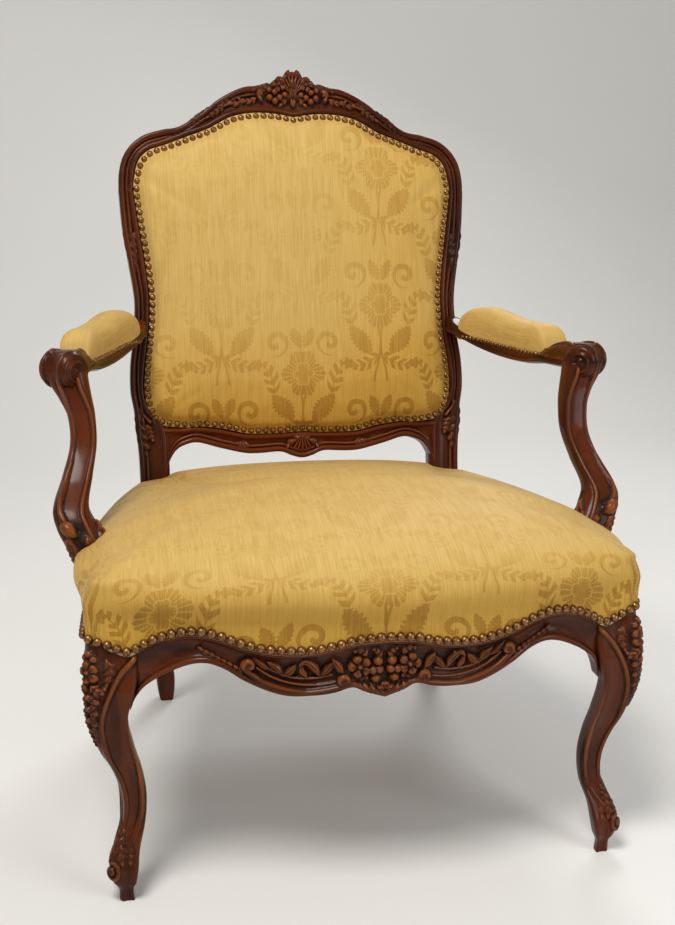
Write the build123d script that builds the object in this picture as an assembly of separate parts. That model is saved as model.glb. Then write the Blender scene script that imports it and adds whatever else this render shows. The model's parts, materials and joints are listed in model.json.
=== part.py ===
from build123d import *
import os
from math import cos, radians, sin

# An open armchair with a carved show-wood frame, a framed back, a domed seat and short arm pads.
# Millimetres. X to the sitter's left as seen from the front, Y to the back, Z up from the floor.
# The origin is on the floor, under the middle of the chair's width and depth.

# Driving sizes of the whole chair
seat_frame_height = 345.0
seat_half_width = 331.0
rear_half_width = 250.0
front_reach = 336.0
back_reach = 232.0
back_base_height = 300.0
back_rise = 681.0
back_half_width = 263.5
back_lean = 10.0

# Wood sections
rail_thickness = 30.0
frame_thickness = 34.0
rebate_width = 18.0
rebate_depth = 8.0
bead_width = 7.0
bead_rise = 1.6
cove_depth = 4.0
leg_block_half = 34.0
rear_leg_half = 21.0
lower_opening_half = 206.0
rail_drop = 62.0
arm_half_width = 24.5
arm_neck_half = 21.5
scroll_radius = 21.0
scroll_half_length = 24.0
support_half_width = 25.0
support_half_depth = 24.0

# Joints
tenon_length = 20.0
tenon_root = 8.0
tenon_thickness = 10.0
tenon_height = 30.0
joint_clearance = 0.15
peg_diameter = 7.0
peg_margin = 3.0
peg_clearance = 0.1
block_height = 32.0
block_drop = 8.0
screw_diameter = 4.5
screw_head_diameter = 8.5
screw_head_height = 2.6
screw_length = 42.0
screw_clearance = 0.1

# Upholstery
cover_thickness = 1.2
layer_gap = 0.2
band_recess = cover_thickness + 2 * layer_gap
canvas_thickness = 1.0
webbing_width = 50.0
webbing_thickness = 1.5
webbing_spacing = 74.0
webbing_inset = 9.0
seat_crown = 100.0
seat_bulge = 11.0
seat_skirt_drop = 48.0
back_crown = 28.0
outside_back_crown = 9.0
outside_wrap = 16.0
arm_pad_crown = 36.0
arm_pad_start = 250.0
arm_pad_end = 62.0

# Nails
nail_head_radius = 5.2
nail_head_rise = 3.4
nail_shank_radius = 0.8
nail_shank_length = 9.0
nail_pitch = 11.4
arm_nail_head_radius = 3.6
arm_nail_head_rise = 2.4
arm_nail_pitch = 8.6
nail_edge_gap = 6.2

# Seat rail's front face: across the front (share of half width) against reach (share of front reach)
front_plan_shares = [(0, 1.0), (0.15, 0.992), (0.30, 0.97), (0.45, 0.942), (0.60, 0.913), (0.70, 0.89),
                     (0.80, 0.863), (0.88, 0.845), (0.945, 0.836)]
# Side rail's outer face: depth (share, front corner to back post) against width (share, wide to narrow)
side_plan_shares = [(0, 0), (0.15, 0.04), (0.32, 0.13), (0.5, 0.36), (0.7, 0.61), (0.86, 0.83), (1, 1)]
front_corner_reach_share = 0.76
# Front rail: across (share of half width), nail line and lower edge (shares of seat frame height)
apron_shares = [(0, 0.947, 0.735), (0.07, 0.942, 0.757), (0.11, 0.938, 0.774), (0.17, 0.922, 0.76),
                (0.25, 0.908, 0.748), (0.33, 0.905, 0.747), (0.40, 0.911, 0.765), (0.48, 0.929, 0.802),
                (0.54, 0.951, 0.84), (0.60, 0.967, 0.86), (0.66, 0.97, 0.858), (0.74, 0.951, 0.834),
                (0.795, 0.926, 0.812)]
corner_nail_shares = [(0.83, 0.898), (0.86, 0.892), (0.895, 0.903), (0.94, 0.922), (1.0, 0.936)]
# Side rail: depth share, nail line and lower edge (shares of seat frame height)
side_edge_shares = [(0, 0.936, 0.80), (0.12, 0.94, 0.84), (0.3, 0.93, 0.83), (0.5, 0.922, 0.815),
                    (0.7, 0.93, 0.83), (0.88, 0.94, 0.835), (1, 0.936, 0.82)]
# Front leg: height, centre out, centre forward, half thickness, corner roundness (share of the half)
front_leg_shares = [(0, 0.897, 0.866, 0.28, 0.6), (0.058, 0.900, 0.864, 0.34, 0.6),
                    (0.12, 0.903, 0.848, 0.49, 0.5), (0.18, 0.888, 0.826, 0.47, 0.42),
                    (0.26, 0.861, 0.785, 0.43, 0.42), (0.36, 0.856, 0.774, 0.46, 0.42),
                    (0.455, 0.876, 0.78, 0.53, 0.42), (0.545, 0.908, 0.794, 0.635, 0.42),
                    (0.66, 0.931, 0.805, 0.70, 0.42), (0.755, 0.925, 0.80, 0.79, 0.45),
                    (0.85, 0.912, 0.768, 0.89, 0.5), (0.90, 0.908, 0.757, 0.895, 0.5),
                    (0.95, 0.906, 0.75, 0.875, 0.5), (1, 0.906, 0.75, 0.875, 0.5)]
# Leg's section in shares of its half thickness: depth of its coves, cut of its round corner, start of its
# soft inner side, and the points round that side
leg_cove_share = 0.12
leg_round_share = 0.36
leg_side_share = 0.55
leg_inner_shares = [(0.97, -0.82), (0.72, -0.92), (0.2, -0.92), (-0.62, -0.62), (-0.92, 0.2), (-0.92, 0.72),
                    (-0.82, 0.97)]
# Rear leg below the seat: height (share of the back's base), out and back (shares), halves (shares)
rear_leg_shares = [(0, 0.888, 1.185, 0.5, 0.5), (0.06, 0.89, 1.185, 0.64, 0.66),
                   (0.13, 0.892, 1.172, 0.70, 0.72), (0.23, 0.896, 1.142, 0.63, 0.66),
                   (0.40, 0.904, 1.09, 0.68, 0.72), (0.60, 0.912, 1.062, 0.80, 0.80),
                   (0.80, 0.914, 1.062, 0.92, 0.84)]
# Back stile: height, outer edge, wood's inner edge (shares of back rise and half width), rebate share
stile_shares = [(0, 0.949, 0.79, 0.35), (0.09, 0.949, 0.79, 0.35), (0.165, 0.951, 0.79, 0.35),
                (0.228, 0.962, 0.805, 0.5), (0.262, 0.967, 0.878, 1), (0.308, 0.983, 0.909, 1),
                (0.367, 0.977, 0.897, 1), (0.428, 0.953, 0.873, 1), (0.506, 0.939, 0.858, 1),
                (0.584, 0.962, 0.873, 1), (0.664, 0.989, 0.899, 1), (0.742, 1.0, 0.922, 1)]
# Crest rail from the stile joint to the middle: outer and wood's inner edge (across, up)
crest_shares = [(1.0, 0.742, 0.922, 0.742), (0.994, 0.778, 0.913, 0.775), (0.971, 0.811, 0.896, 0.80),
                (0.922, 0.838, 0.869, 0.816), (0.85, 0.858, 0.82, 0.83), (0.751, 0.870, 0.732, 0.841),
                (0.645, 0.879, 0.638, 0.855), (0.505, 0.913, 0.505, 0.874), (0.448, 0.931, 0.44, 0.887),
                (0.368, 0.950, 0.364, 0.902), (0.273, 0.965, 0.266, 0.911), (0.152, 0.970, 0.159, 0.913),
                (0.068, 0.987, 0.076, 0.91), (0, 1.0, 0, 0.905)]
# Back's lower rail from its end to the middle: across, lower edge, wood's upper edge
lower_rail_shares = [(1, 0.165, 0.2255), (0.957, 0.179, 0.2245), (0.90, 0.186, 0.2235),
                     (0.76, 0.1915, 0.2254), (0.60, 0.178, 0.219), (0.43, 0.165, 0.207),
                     (0.32, 0.163, 0.205), (0.16, 0.165, 0.2055), (0.07, 0.155, 0.207), (0, 0.15, 0.2085)]
# Lower rail's seat in the stiles (share of a bead)
lower_rail_seat_share = 0.85
# Corner of the upholstered panel between the lower rail and the stile
panel_corner_shares = [(0.827, 0.2312), (0.884, 0.2525)]
panel_centre_share = 0.556
panel_half_share = 0.352
# Place of the front rail's tenons behind its face (share of its thickness)
tenon_place_share = 0.6
# Arm from the back to the scroll: depth, centre across, half width, underside, top of the wood
arm_shares = [(1.29, 0.974, 0.46, 1.712, 1.772), (1.215, 0.982, 0.55, 1.705, 1.768),
              (1.14, 1.008, 0.72, 1.698, 1.754),
              (1.056, 1.052, 0.92, 1.690, 1.742), (0.862, 1.14, 1.0, 1.657, 1.708),
              (0.647, 1.22, 1.02, 1.637, 1.69), (0.431, 1.292, 1.02, 1.634, 1.69),
              (0.259, 1.332, 1.0, 1.648, 1.70), (0.15, 1.35, 0.98, 1.65, 1.735),
              (0.043, 1.364, 0.98, 1.652, 1.755), (-0.04, 1.372, 1.0, 1.656, 1.76),
              (-0.085, 1.376, 1.0, 1.66, 1.757)]
arm_neck_shares = [(1.077, 1.042, 0.8, 1.728), (0.862, 1.14, 1.0, 1.728), (0.647, 1.22, 1.02, 1.72),
                   (0.431, 1.292, 1.02, 1.714), (0.267, 1.331, 1.0, 1.716)]
# Arm support from the side rail up to the arm: height, out, forward, half width, half depth
support_shares = [(1, 0.958, 0.335, 0.82, 0.78), (1.07, 0.972, 0.37, 0.9, 0.86),
                  (1.12, 0.985, 0.37, 0.98, 0.92), (1.18, 1.015, 0.345, 0.98, 0.92),
                  (1.24, 1.036, 0.30, 0.86, 0.92), (1.33, 1.01, 0.20, 0.74, 0.86),
                  (1.43, 0.984, 0.125, 0.66, 0.80), (1.53, 0.984, 0.085, 0.66, 0.78),
                  (1.62, 1.012, 0.06, 0.78, 0.80), (1.69, 1.03, 0.052, 0.88, 0.82)]
# Seat dome: height over the frame (share of crown), half width, front and rear reach (shares)
seat_dome_shares = [(0, 0, 1.0, 1.0), (0.07, 0.45, 1.012, 1.0), (0.25, 1.0, 1.03, 0.985),
                    (0.42, 0.75, 1.018, 0.955), (0.58, -1.0, 0.965, 0.80), (0.74, -3.3, 0.85, 0.47),
                    (0.86, -6.0, 0.73, 0.25), (0.945, -10.2, 0.56, 0.05), (1.0, -18.0, 0.36, -0.10)]
# Knots of the seat's outline across its front and along its side
outline_front_shares = (0, 0.15, 0.30, 0.45, 0.60, 0.72, 0.84, 0.895, 0.945)
outline_corner_share = 0.985
outline_side_shares = (0.04, 0.13, 0.27, 0.42, 0.60, 0.80, 1.0)
# Domes on the back and the arms: rise (share of the crown), inset (share of the crown)
pad_dome_shares = [(0, 0.0), (0.32, 0.08), (0.58, 0.30), (0.78, 0.75), (0.92, 1.6), (1.0, 3.1)]
arm_pad_shares = [(0, 0.74, 0.25), (0.035, 0.92, 0.66), (0.12, 1.0, 0.93), (0.28, 1.0, 1.0),
                  (0.5, 1.0, 0.86), (0.72, 1.0, 0.80), (0.88, 1.0, 0.86), (0.965, 0.94, 0.66),
                  (1, 0.80, 0.2)]

# Rounded corners: how far the cut's middle lies from the square corner, as a share of the cut
corner_cut_share = 0.3
# Nail: width and height of its crown's shoulder, and the start of its point (shares)
nail_crown_shares = (0.74, 0.68)
nail_point_share = 0.7
# Place of the first webbing strip behind the arm supports (share of the spacing)
webbing_start_share = 0.72
# Arm pad's section: height of its shoulder, widths of its belly and shoulder, and the brow between
pad_shoulder_share = 0.62
pad_belly_share = 1.03
pad_waist_share = 0.9
pad_brow_shares = (0.55, 0.3)
# Corner blocks and their screws: places across (share of a half width) and in depth (share of a reach)
front_block_shares = [(0.58, -0.83), (0.93, -0.83), (0.93, -0.49)]
rear_block_shares = [(0.52, 1.03), (0.97, 1.03), (0.97, 0.6)]
front_screw_shares = [(0.725, -0.708), (0.834, -0.595)]
rear_screw_shares = [(0.7, 0.9), (0.812, 0.776)]
# Nail row round an arm pad: length from the rear (share), half width (share)
arm_nail_shares = [(0, 0), (0, 0.5), (0.012, 0.84), (0.06, 0.955), (0.2, 1.0), (0.5, 1.0), (0.8, 1.0),
                   (0.94, 0.96), (0.988, 0.88), (1, 0.5), (1, 0)]

dome_steps = 2
trim_steps = 24
webbing_rows = 4
webbing_places = (-2, -1, 0, 1, 2)

# Sizes worked out from the driving sizes
arm_frame = seat_frame_height
lean_cos = cos(radians(back_lean))
lean_sin = sin(radians(back_lean))
rear_limit = back_reach + back_rise * lean_sin + frame_thickness * lean_cos
front_limit = front_reach + seat_bulge
depth_centre = (rear_limit - front_limit) / 2
front_corner_reach = front_reach * front_corner_reach_share
rear_rail_front = back_reach + rebate_depth - band_recess
leg_inner = seat_half_width * front_leg_shares[-1][1] - leg_block_half * front_leg_shares[-1][3]
leg_back = leg_block_half * front_leg_shares[-1][3] - front_reach * front_leg_shares[-1][2]
support_foot_y = -front_reach * support_shares[0][2]
lower_rail_end = lower_opening_half + bead_width * lower_rail_seat_share
whole_pieces = ("front", "rear", "lower", "crest")
back_frame = Plane(origin=(0, back_reach, back_base_height), x_dir=(1, 0, 0),
                   z_dir=(0, -lean_cos, lean_sin)).location


# Small helpers

def table_value(table, place, column=1):
    """Value of a table's column at a place along its first column, on a smooth curve through the rows."""
    rows = sorted(table)
    spots = [row[0] for row in rows]
    values = [row[column] for row in rows]
    last = len(rows) - 1
    place = min(max(place, spots[0]), spots[last])
    k = max(i for i in range(last) if spots[i] <= place)

    def slope(i):
        low, high = max(i - 1, 0), min(i + 1, last)
        return (values[high] - values[low]) / (spots[high] - spots[low])

    step = spots[k + 1] - spots[k]
    t = (place - spots[k]) / step
    rise = values[k + 1] - values[k]
    bend = (1 - t) * (slope(k) * step - rise) - t * (slope(k + 1) * step - rise)
    return values[k] + t * rise + t * (1 - t) * bend


def edge_of(points):
    """A line through two points or an arc through three."""
    if len(points) == 2:
        return Edge.make_line(*points)
    return Edge.make_three_point_arc(*points)


def ring(spans, place):
    """A closed wire of lines and arcs: each span is a list of flat points that place puts in space."""
    return Wire([edge_of([place(*point) for point in span]) for span in spans])


def chain(points):
    """Arcs through every second point of a closed list of flat points."""
    closed = points + points[:1]
    return [closed[i:i + 3] for i in range(0, len(closed) - 1, 2)]


def loft_of(wires):
    return Solid.make_loft(wires, ruled=False)


def one(shape):
    """The largest solid of a boolean's result."""
    return max(shape.solids(), key=lambda solid: solid.volume)


def box_between(low, high, grow=0.0):
    """A box from its low corner to its high corner, grown all round for a mortise."""
    size = [b - a + 2 * grow for a, b in zip(low, high)]
    middle = [(a + b) / 2 for a, b in zip(low, high)]
    return Pos(*middle) * Box(*size)


def mirrored(shape):
    return shape.mirror(Plane.YZ)


def rod(start, end, radius):
    """A round bar between two points."""
    axis = Vector(*end) - Vector(*start)
    return Solid.make_cylinder(radius, axis.length, Plane(origin=start, z_dir=axis))


def save(name, *solids):
    """Writes one node, moved so that the origin is under the middle of the depth."""
    moved = [Pos(0, -depth_centre, 0) * solid for solid in solids]
    shape = moved[0] if len(moved) == 1 else Compound(children=moved)
    export_step(shape, f"parts/{name}.step")


# Places on the chair

def back_place(across, up, behind):
    """A point given on the leaning back: across, up its face, and behind its front face."""
    y = back_reach + up * lean_sin + behind * lean_cos
    z = back_base_height + up * lean_cos - behind * lean_sin
    return Vector(across, y, z)


def back_box(low, high, grow=0.0):
    """A box given on the leaning back, by its low and high corners across, up and behind."""
    return back_frame * box_between((low[0], low[1], -high[2]), (high[0], high[1], -low[2]), grow)


def front_face(across):
    """Forward reach of the front rail's face at a place across the chair."""
    return front_reach * table_value(front_plan_shares, abs(across) / seat_half_width)


def side_face(y):
    """Half width of the seat frame at a depth."""
    depth = (y + front_corner_reach) / (back_reach + front_corner_reach)
    narrowing = seat_half_width - rear_half_width
    return seat_half_width - narrowing * table_value(side_plan_shares, min(max(depth, 0), 1))


def nail_height(across):
    share = abs(across) / seat_half_width
    table = [row[:2] for row in apron_shares] + corner_nail_shares
    return seat_frame_height * table_value(table, share)


def side_nail_height(y):
    depth = (y + front_corner_reach) / (back_reach + front_corner_reach)
    return seat_frame_height * table_value(side_edge_shares, depth)


# Wooden frame of the seat

def leg_section(centre_x, centre_y, half, roundness):
    """A squared leg section: coved front and side faces, a round outer corner and a soft inner one."""
    far, side = 1 - roundness, leg_side_share
    middle, hollow = (far - side) / 2, 1 - leg_cove_share
    turn = 1 - leg_round_share * roundness
    a, b, c, d, e, f, g = leg_inner_shares
    spans_shares = [[(far, 1), (turn, turn), (1, far)],
                    [(1, far), (hollow, middle), (1, -side)],
                    [(1, -side), a, b],
                    [b, c],
                    [c, d, e],
                    [e, f],
                    [f, g, (-side, 1)],
                    [(-side, 1), (middle, hollow), (far, 1)]]
    return spans_shares, lambda z: (lambda a, b: Vector(centre_x + a * half, centre_y - b * half, z))


def front_leg():
    """The right front leg with its corner block, square enough at the top to take the rails."""
    wires = []
    for up, out, forward, thick, roundness in front_leg_shares:
        half = leg_block_half * thick
        spans, place = leg_section(seat_half_width * out, -front_reach * forward, half, roundness)
        wires.append(ring(spans, place(seat_frame_height * up)))
    return loft_of(wires)


def rail_spans(top, nails, low, thickness):
    """A moulded rail's section: covered band, bead, cove, lower bead, underside and back."""
    band = nails - bead_width
    foot = low + bead_width
    middle = (band - bead_width + foot) / 2
    hollow = bead_rise + cove_depth
    return [[(band_recess, top), (band_recess, band)],
            [(band_recess, band), (0, band - bead_rise)],
            [(0, band - bead_rise), (bead_rise / 4, band - bead_width / 2), (bead_rise, band - bead_width)],
            [(bead_rise, band - bead_width), (hollow, middle), (bead_rise, foot)],
            [(bead_rise, foot), (bead_rise / 2, low + bead_rise), (cove_depth, low)],
            [(cove_depth, low), (thickness, low)],
            [(thickness, low), (thickness, top)],
            [(thickness, top), (band_recess, top)]]


def front_rail_body(end):
    """The serpentine front rail between two places across the chair."""
    stops = [row[0] * seat_half_width for row in apron_shares if row[0] * seat_half_width < end]
    stops = [-stop for stop in reversed(stops[1:])] + stops
    stops = [-end] + stops + [end]
    wires = []
    for across in stops:
        share = abs(across) / seat_half_width
        low = seat_frame_height * table_value(apron_shares, share, 2)
        face = -front_face(across)
        spans = rail_spans(seat_frame_height, nail_height(across), low, rail_thickness)
        wires.append(ring(spans, lambda a, b, x=across, y=face: Vector(x, y + a, b)))
    return loft_of(wires)


def side_rail_body(start, end):
    """The right side rail, bowed in plan, between two depths."""
    wires = []
    depth = back_reach + front_corner_reach
    stops = [-front_corner_reach + row[0] * depth for row in side_edge_shares]
    stops = [start] + [stop for stop in stops if start < stop < end] + [end]
    for y in stops:
        share = (y + front_corner_reach) / depth
        low = seat_frame_height * table_value(side_edge_shares, share, 2)
        spans = rail_spans(seat_frame_height, side_nail_height(y), low, rail_thickness)
        wires.append(ring(spans, lambda a, b, x=side_face(y), v=y: Vector(x - a, v, b)))
    return loft_of(wires)


def rear_rail_body():
    """The straight rear rail between the posts."""
    low = seat_frame_height - rail_drop
    return box_between((-lower_opening_half, rear_rail_front, low),
                       (lower_opening_half, rear_rail_front + rail_thickness, seat_frame_height))


# Wooden frame of the back

def rear_leg_section(x, y, half_x, half_y):
    """Leg section with a rounded outer front corner, on the same eight spans as the stile above."""
    outer, inner = x + half_x, x - half_x
    front, rear = y - half_y, y + half_y
    soft_x = half_x * corner_cut_share
    soft_y = half_y * corner_cut_share
    return [[(outer, front + soft_y), (outer - soft_x / 4, front + soft_y / 4), (outer - soft_x, front)],
            [(outer - soft_x, front), (x, front + soft_y / 4), (inner + soft_x, front)],
            [(inner + soft_x, front), (inner + soft_x / 4, front + soft_y / 4), (inner, front + soft_y)],
            [(inner, front + soft_y), (inner, front + 2 * soft_y)],
            [(inner, front + 2 * soft_y), (inner + soft_x / 4, y + half_y / 2)],
            [(inner + soft_x / 4, y + half_y / 2), (inner + soft_x, rear)],
            [(inner + soft_x, rear), (outer - soft_x / 4, rear)],
            [(outer - soft_x / 4, rear), (outer, front + soft_y)]]


def bar_spans(width, inner, rebate):
    """A moulded bar's section: bead, cove, bead, rebate wall and floor, inner side, back, outer side."""
    hollow = bead_rise + cove_depth
    return [[(width, bead_width), (width - bead_rise, bead_rise), (width - bead_width, bead_rise)],
            [(width - bead_width, bead_rise), (width / 2, hollow), (bead_width, bead_rise)],
            [(bead_width, bead_rise), (bead_width / 2, 0), (0, bead_rise)],
            [(0, bead_rise), (0, rebate)],
            [(0, rebate), (-inner, rebate)],
            [(-inner, rebate), (-inner, frame_thickness)],
            [(-inner, frame_thickness), (width, frame_thickness)],
            [(width, frame_thickness), (width, bead_width)]]


def bar_wire(outer, wood, inner, rebate):
    """The bar's section on the line from the wood's inner edge to its outer edge."""
    reach = Vector(outer[0] - wood[0], outer[1] - wood[1])
    along = reach.normalized()

    def place(a, behind):
        return back_place(wood[0] + along.X * a, wood[1] + along.Y * a, behind)

    return ring(bar_spans(reach.length, inner, rebate), place)


def stile_wires():
    wires = []
    for up, outer, wood, rebate in stile_shares:
        v = back_rise * up
        inner = rebate_width * rebate
        if rebate < 1:
            inner = back_half_width * wood - lower_opening_half
        wires.append(bar_wire((back_half_width * outer, v), (back_half_width * wood, v), inner,
                              max(rebate_depth * rebate, 2 * bead_rise)))
    return wires


def rear_post():
    """The right rear leg and the stile above it, one piece of wood."""
    wires = []
    for up, out, back, half_x, half_y in rear_leg_shares:
        z = back_base_height * up
        spans = rear_leg_section(rear_half_width * out, back_reach * back, rear_leg_half * half_x,
                                 rear_leg_half * half_y)
        wires.append(ring(spans, lambda a, b, h=z: Vector(a, b, h)))
    return loft_of(wires + stile_wires())


def crest_wires():
    rows = crest_shares + [(-row[0], row[1], -row[2], row[3]) for row in reversed(crest_shares[:-1])]
    wires = []
    for out_x, out_v, in_x, in_v in rows:
        outer = (back_half_width * out_x, back_rise * out_v)
        wood = (back_half_width * in_x, back_rise * in_v)
        wires.append(bar_wire(outer, wood, rebate_width, rebate_depth))
    return wires


def lower_rail_wires(end):
    rows = lower_rail_shares + [(-row[0], row[1], row[2]) for row in reversed(lower_rail_shares[:-1])]
    wires = []
    for across, low, wood in rows:
        x = end * across
        wires.append(bar_wire((x, back_rise * low), (x, back_rise * wood), rebate_width, rebate_depth))
    return wires


# Arms

def rounded_bar(half, low, high, soft):
    """A bar section with soft corners: half width, underside and top heights."""
    mid_soft = soft * corner_cut_share
    return [[(-half + soft, low), (half - soft, low)],
            [(half - soft, low), (half - mid_soft, low + mid_soft), (half, low + soft)],
            [(half, low + soft), (half, high - soft)],
            [(half, high - soft), (half - mid_soft, high - mid_soft), (half - soft, high)],
            [(half - soft, high), (-half + soft, high)],
            [(-half + soft, high), (-half + mid_soft, high - mid_soft), (-half, high - soft)],
            [(-half, high - soft), (-half, low + soft)],
            [(-half, low + soft), (-half + mid_soft, low + mid_soft), (-half + soft, low)]]


def arm_wood():
    """The right arm: a shaped bar with a raised neck under the pad and a volute at its front."""
    wires = []
    for depth, out, wide, low, high in arm_shares:
        y, x, half = back_reach * depth, rear_half_width * out, arm_half_width * wide
        spans = rounded_bar(half, arm_frame * low, arm_frame * high, bead_width)
        wires.append(ring(spans, lambda a, b, u=x, v=y: Vector(u + a, v, b)))
    bar = loft_of(wires)
    wires = []
    for depth, out, wide, high in arm_neck_shares:
        y, x, half = back_reach * depth, rear_half_width * out, arm_neck_half * wide
        low = arm_frame * table_value([(row[0], row[3]) for row in arm_shares], depth) + rebate_depth
        spans = rounded_bar(half, low, arm_frame * high, bead_rise)
        wires.append(ring(spans, lambda a, b, u=x, v=y: Vector(u + a, v, b)))
    neck = loft_of(wires)
    depth, out, wide, low, high = arm_shares[-1]
    centre = Vector(rear_half_width * out, back_reach * depth, arm_frame * high - scroll_radius)
    side = Vector(scroll_half_length, 0, 0)
    scroll = rod(centre - side, centre + side, scroll_radius)
    return one(bar.fuse(neck).fuse(scroll))


def support_wood(grow=0.0):
    """The right S-shaped support, or the larger space that the upholstery leaves for it."""
    wires = []
    for up, out, forward, wide, deep in support_shares:
        x, y = seat_half_width * out, -front_reach * forward
        half_x, half_y = support_half_width * wide + grow, support_half_depth * deep + grow
        spans = rounded_bar(half_x, -half_y, half_y, bead_width)
        wires.append(ring(spans, lambda a, b, u=x, v=y, h=seat_frame_height * up: Vector(u + a, v + b, h)))
    return loft_of(wires)


# Upholstery shapes

def seat_outline(row, grow):
    """One level of the seat's dome: the frame's plan drawn in or out, as twenty arcs."""
    height, bulge, front, rear = row
    wide = seat_bulge * bulge + grow
    scale = (seat_half_width + wide) / seat_half_width
    rear_y = (back_reach + rail_thickness + rebate_depth) * rear + grow
    front_y = -front_reach * front - grow

    def place(x, y):
        share = (y + front_reach) / (front_reach + back_reach + rail_thickness + rebate_depth)
        return (x * scale, front_y + (rear_y - front_y) * share)

    corner_y = -front_corner_reach
    depth = back_reach - corner_y
    rear_edge = back_reach + rail_thickness + rebate_depth
    right = [(seat_half_width * share, -front_face(seat_half_width * share))
             for share in outline_front_shares]
    right.append((seat_half_width * outline_corner_share, -front_face(seat_half_width) + bead_width))
    right.append((seat_half_width, corner_y - bead_width))
    right += [(side_face(corner_y + depth * share), corner_y + depth * share)
              for share in outline_side_shares]
    right.append((rear_half_width, back_reach + rail_thickness / 2))
    right.append((rear_half_width - bead_width / 2, rear_edge - bead_width / 2))
    right.append((rear_half_width - 2 * bead_width, rear_edge))
    right.append((rear_half_width / 2, rear_edge + layer_gap))
    right.append((0, rear_edge + 2 * layer_gap))
    left = [(-x, y) for x, y in reversed(right[1:-1])]
    return [place(x, y) for x, y in right + left], seat_frame_height + seat_crown * height


def seat_dome(grow, floor):
    """The seat's dome from a floor height up, all its levels grown by one amount."""
    wires = []
    base, _ = seat_outline(seat_dome_shares[0], grow)
    wires.append(ring(chain(base), lambda a, b: Vector(a, b, floor)))
    table = [(k, *row) for k, row in enumerate(seat_dome_shares)]
    for step in range((len(table) - 1) * dome_steps + 1):
        row = [table_value(table, step / dome_steps, column) for column in (1, 2, 3, 4)]
        points, z = seat_outline(row, grow)
        if z > floor:
            wires.append(ring(chain(points), lambda a, b, h=z + grow: Vector(a, b, h)))
    return Solid.make_loft(wires, ruled=True)


def panel_points(draw_in):
    """Inside of the back frame's wood, drawn in: a closed list of points on the back's face."""
    right = [(row[0] * lower_opening_half, row[2] * back_rise) for row in reversed(lower_rail_shares[2:])]
    right += [(a * back_half_width, b * back_rise) for a, b in panel_corner_shares]
    right += [(row[2] * back_half_width, row[0] * back_rise) for row in stile_shares[5:]]
    right += [(row[2] * back_half_width, row[3] * back_rise) for row in crest_shares[1:]]
    left = [(-x, y) for x, y in reversed(right[1:-1])]
    centre = back_rise * panel_centre_share
    half_up = back_rise * panel_half_share
    wide = 1 - draw_in / back_half_width
    tall = 1 - draw_in / half_up
    return [(x * wide, centre + (y - centre) * tall) for x, y in right + left]


def panel_plate(draw_in, low, high):
    """A flat sheet inside the back's frame, between two depths behind its face."""
    points = panel_points(draw_in)
    return loft_of([ring(chain(points), lambda a, b, w=w: back_place(a, b, w)) for w in (high, low)])


def panel_dome(draw_in, start, crown):
    """A pad on the back: from its base depth forward by the crown, or back where that is negative."""
    wires = []
    for rise, inset in pad_dome_shares:
        points = panel_points(draw_in + abs(crown) * inset)
        wires.append(ring(chain(points), lambda a, b, w=start - crown * rise: back_place(a, b, w)))
    return loft_of(wires if crown > 0 else wires[::-1])


def arm_pad_body(grow, floor_drop):
    """The right arm's pad: a saddle with rounded ends, sections across the arm."""
    wires = []
    length = arm_pad_start - arm_pad_end
    centres = [(row[0], row[1]) for row in arm_neck_shares]
    tops = [(row[0], row[3]) for row in arm_neck_shares]
    for share, wide, rise in arm_pad_shares:
        y = arm_pad_start - length * share
        y += grow * (1 - 2 * share)
        x = rear_half_width * table_value(centres, y / back_reach)
        base = arm_frame * table_value(tops, y / back_reach) - floor_drop
        half = arm_neck_half * wide + grow
        foot = base + floor_drop + 2 * layer_gap
        high = foot + arm_pad_crown * rise + grow
        shoulder = foot + (high - foot) * pad_shoulder_share
        belly, waist = half * pad_belly_share, half * pad_waist_share
        crest, brow = high - (high - shoulder) * pad_brow_shares[1], half * pad_brow_shares[0]
        middle = (foot + shoulder) / 2
        spans = [[(-half, base), (half, base)],
                 [(half, base), (half, foot)],
                 [(half, foot), (belly, middle), (waist, shoulder)],
                 [(waist, shoulder), (brow, crest), (0, high)],
                 [(0, high), (-brow, crest), (-waist, shoulder)],
                 [(-waist, shoulder), (-belly, middle), (-half, foot)],
                 [(-half, foot), (-half, base)]]
        wires.append(ring(spans, lambda a, b, u=x, v=y: Vector(u + a, v, b)))
    return loft_of(wires)


# Cutting tools for the upholstery

def prism(points, place, direction):
    """A closed flat outline pushed along a direction."""
    wire = Wire.make_polygon([place(a, b) for a, b in points], close=True)
    return Solid.extrude(Face(wire), Vector(*direction))


def skirt_trim():
    """Everything below the seat cover's lower edge: a wavy line in front and at the sides, level behind."""
    count = trim_steps
    deep = seat_frame_height - 2 * seat_skirt_drop
    wide = seat_half_width + 2 * seat_bulge
    front = []
    for k in range(-count, count + 1):
        x = wide * k / count
        front.append((x, nail_height(min(max(x, -seat_half_width), seat_half_width)) - nail_edge_gap))
    front += [(wide, deep), (-wide, deep)]
    reach = 2 * seat_bulge + front_reach - front_corner_reach
    pieces = [prism(front, lambda a, b: Vector(a, -front_corner_reach - reach, b), (0, reach, 0))]
    side = []
    for k in range(count + 1):
        y = -front_corner_reach + (back_reach + front_corner_reach) * k / count
        side.append((y, side_nail_height(y) - nail_edge_gap))
    side += [(back_reach, deep), (-front_corner_reach, deep)]
    pieces.append(prism(side, lambda a, b: Vector(-wide, a, b), (2 * wide, 0, 0)))
    level = side_nail_height(back_reach) - nail_edge_gap
    pieces.append(box_between((-wide, back_reach, deep), (wide, 2 * back_reach, level)))
    return pieces


def post_space(grow):
    """The leaning space that the upholstery leaves for the right rear post."""
    reach = back_base_height / 2
    return back_box((lower_opening_half - grow, -reach, -grow),
                    (rear_half_width + seat_bulge, reach, 2 * frame_thickness))


def without(body, tools):
    for tool in tools:
        body = one(body.cut(tool))
    return body


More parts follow.
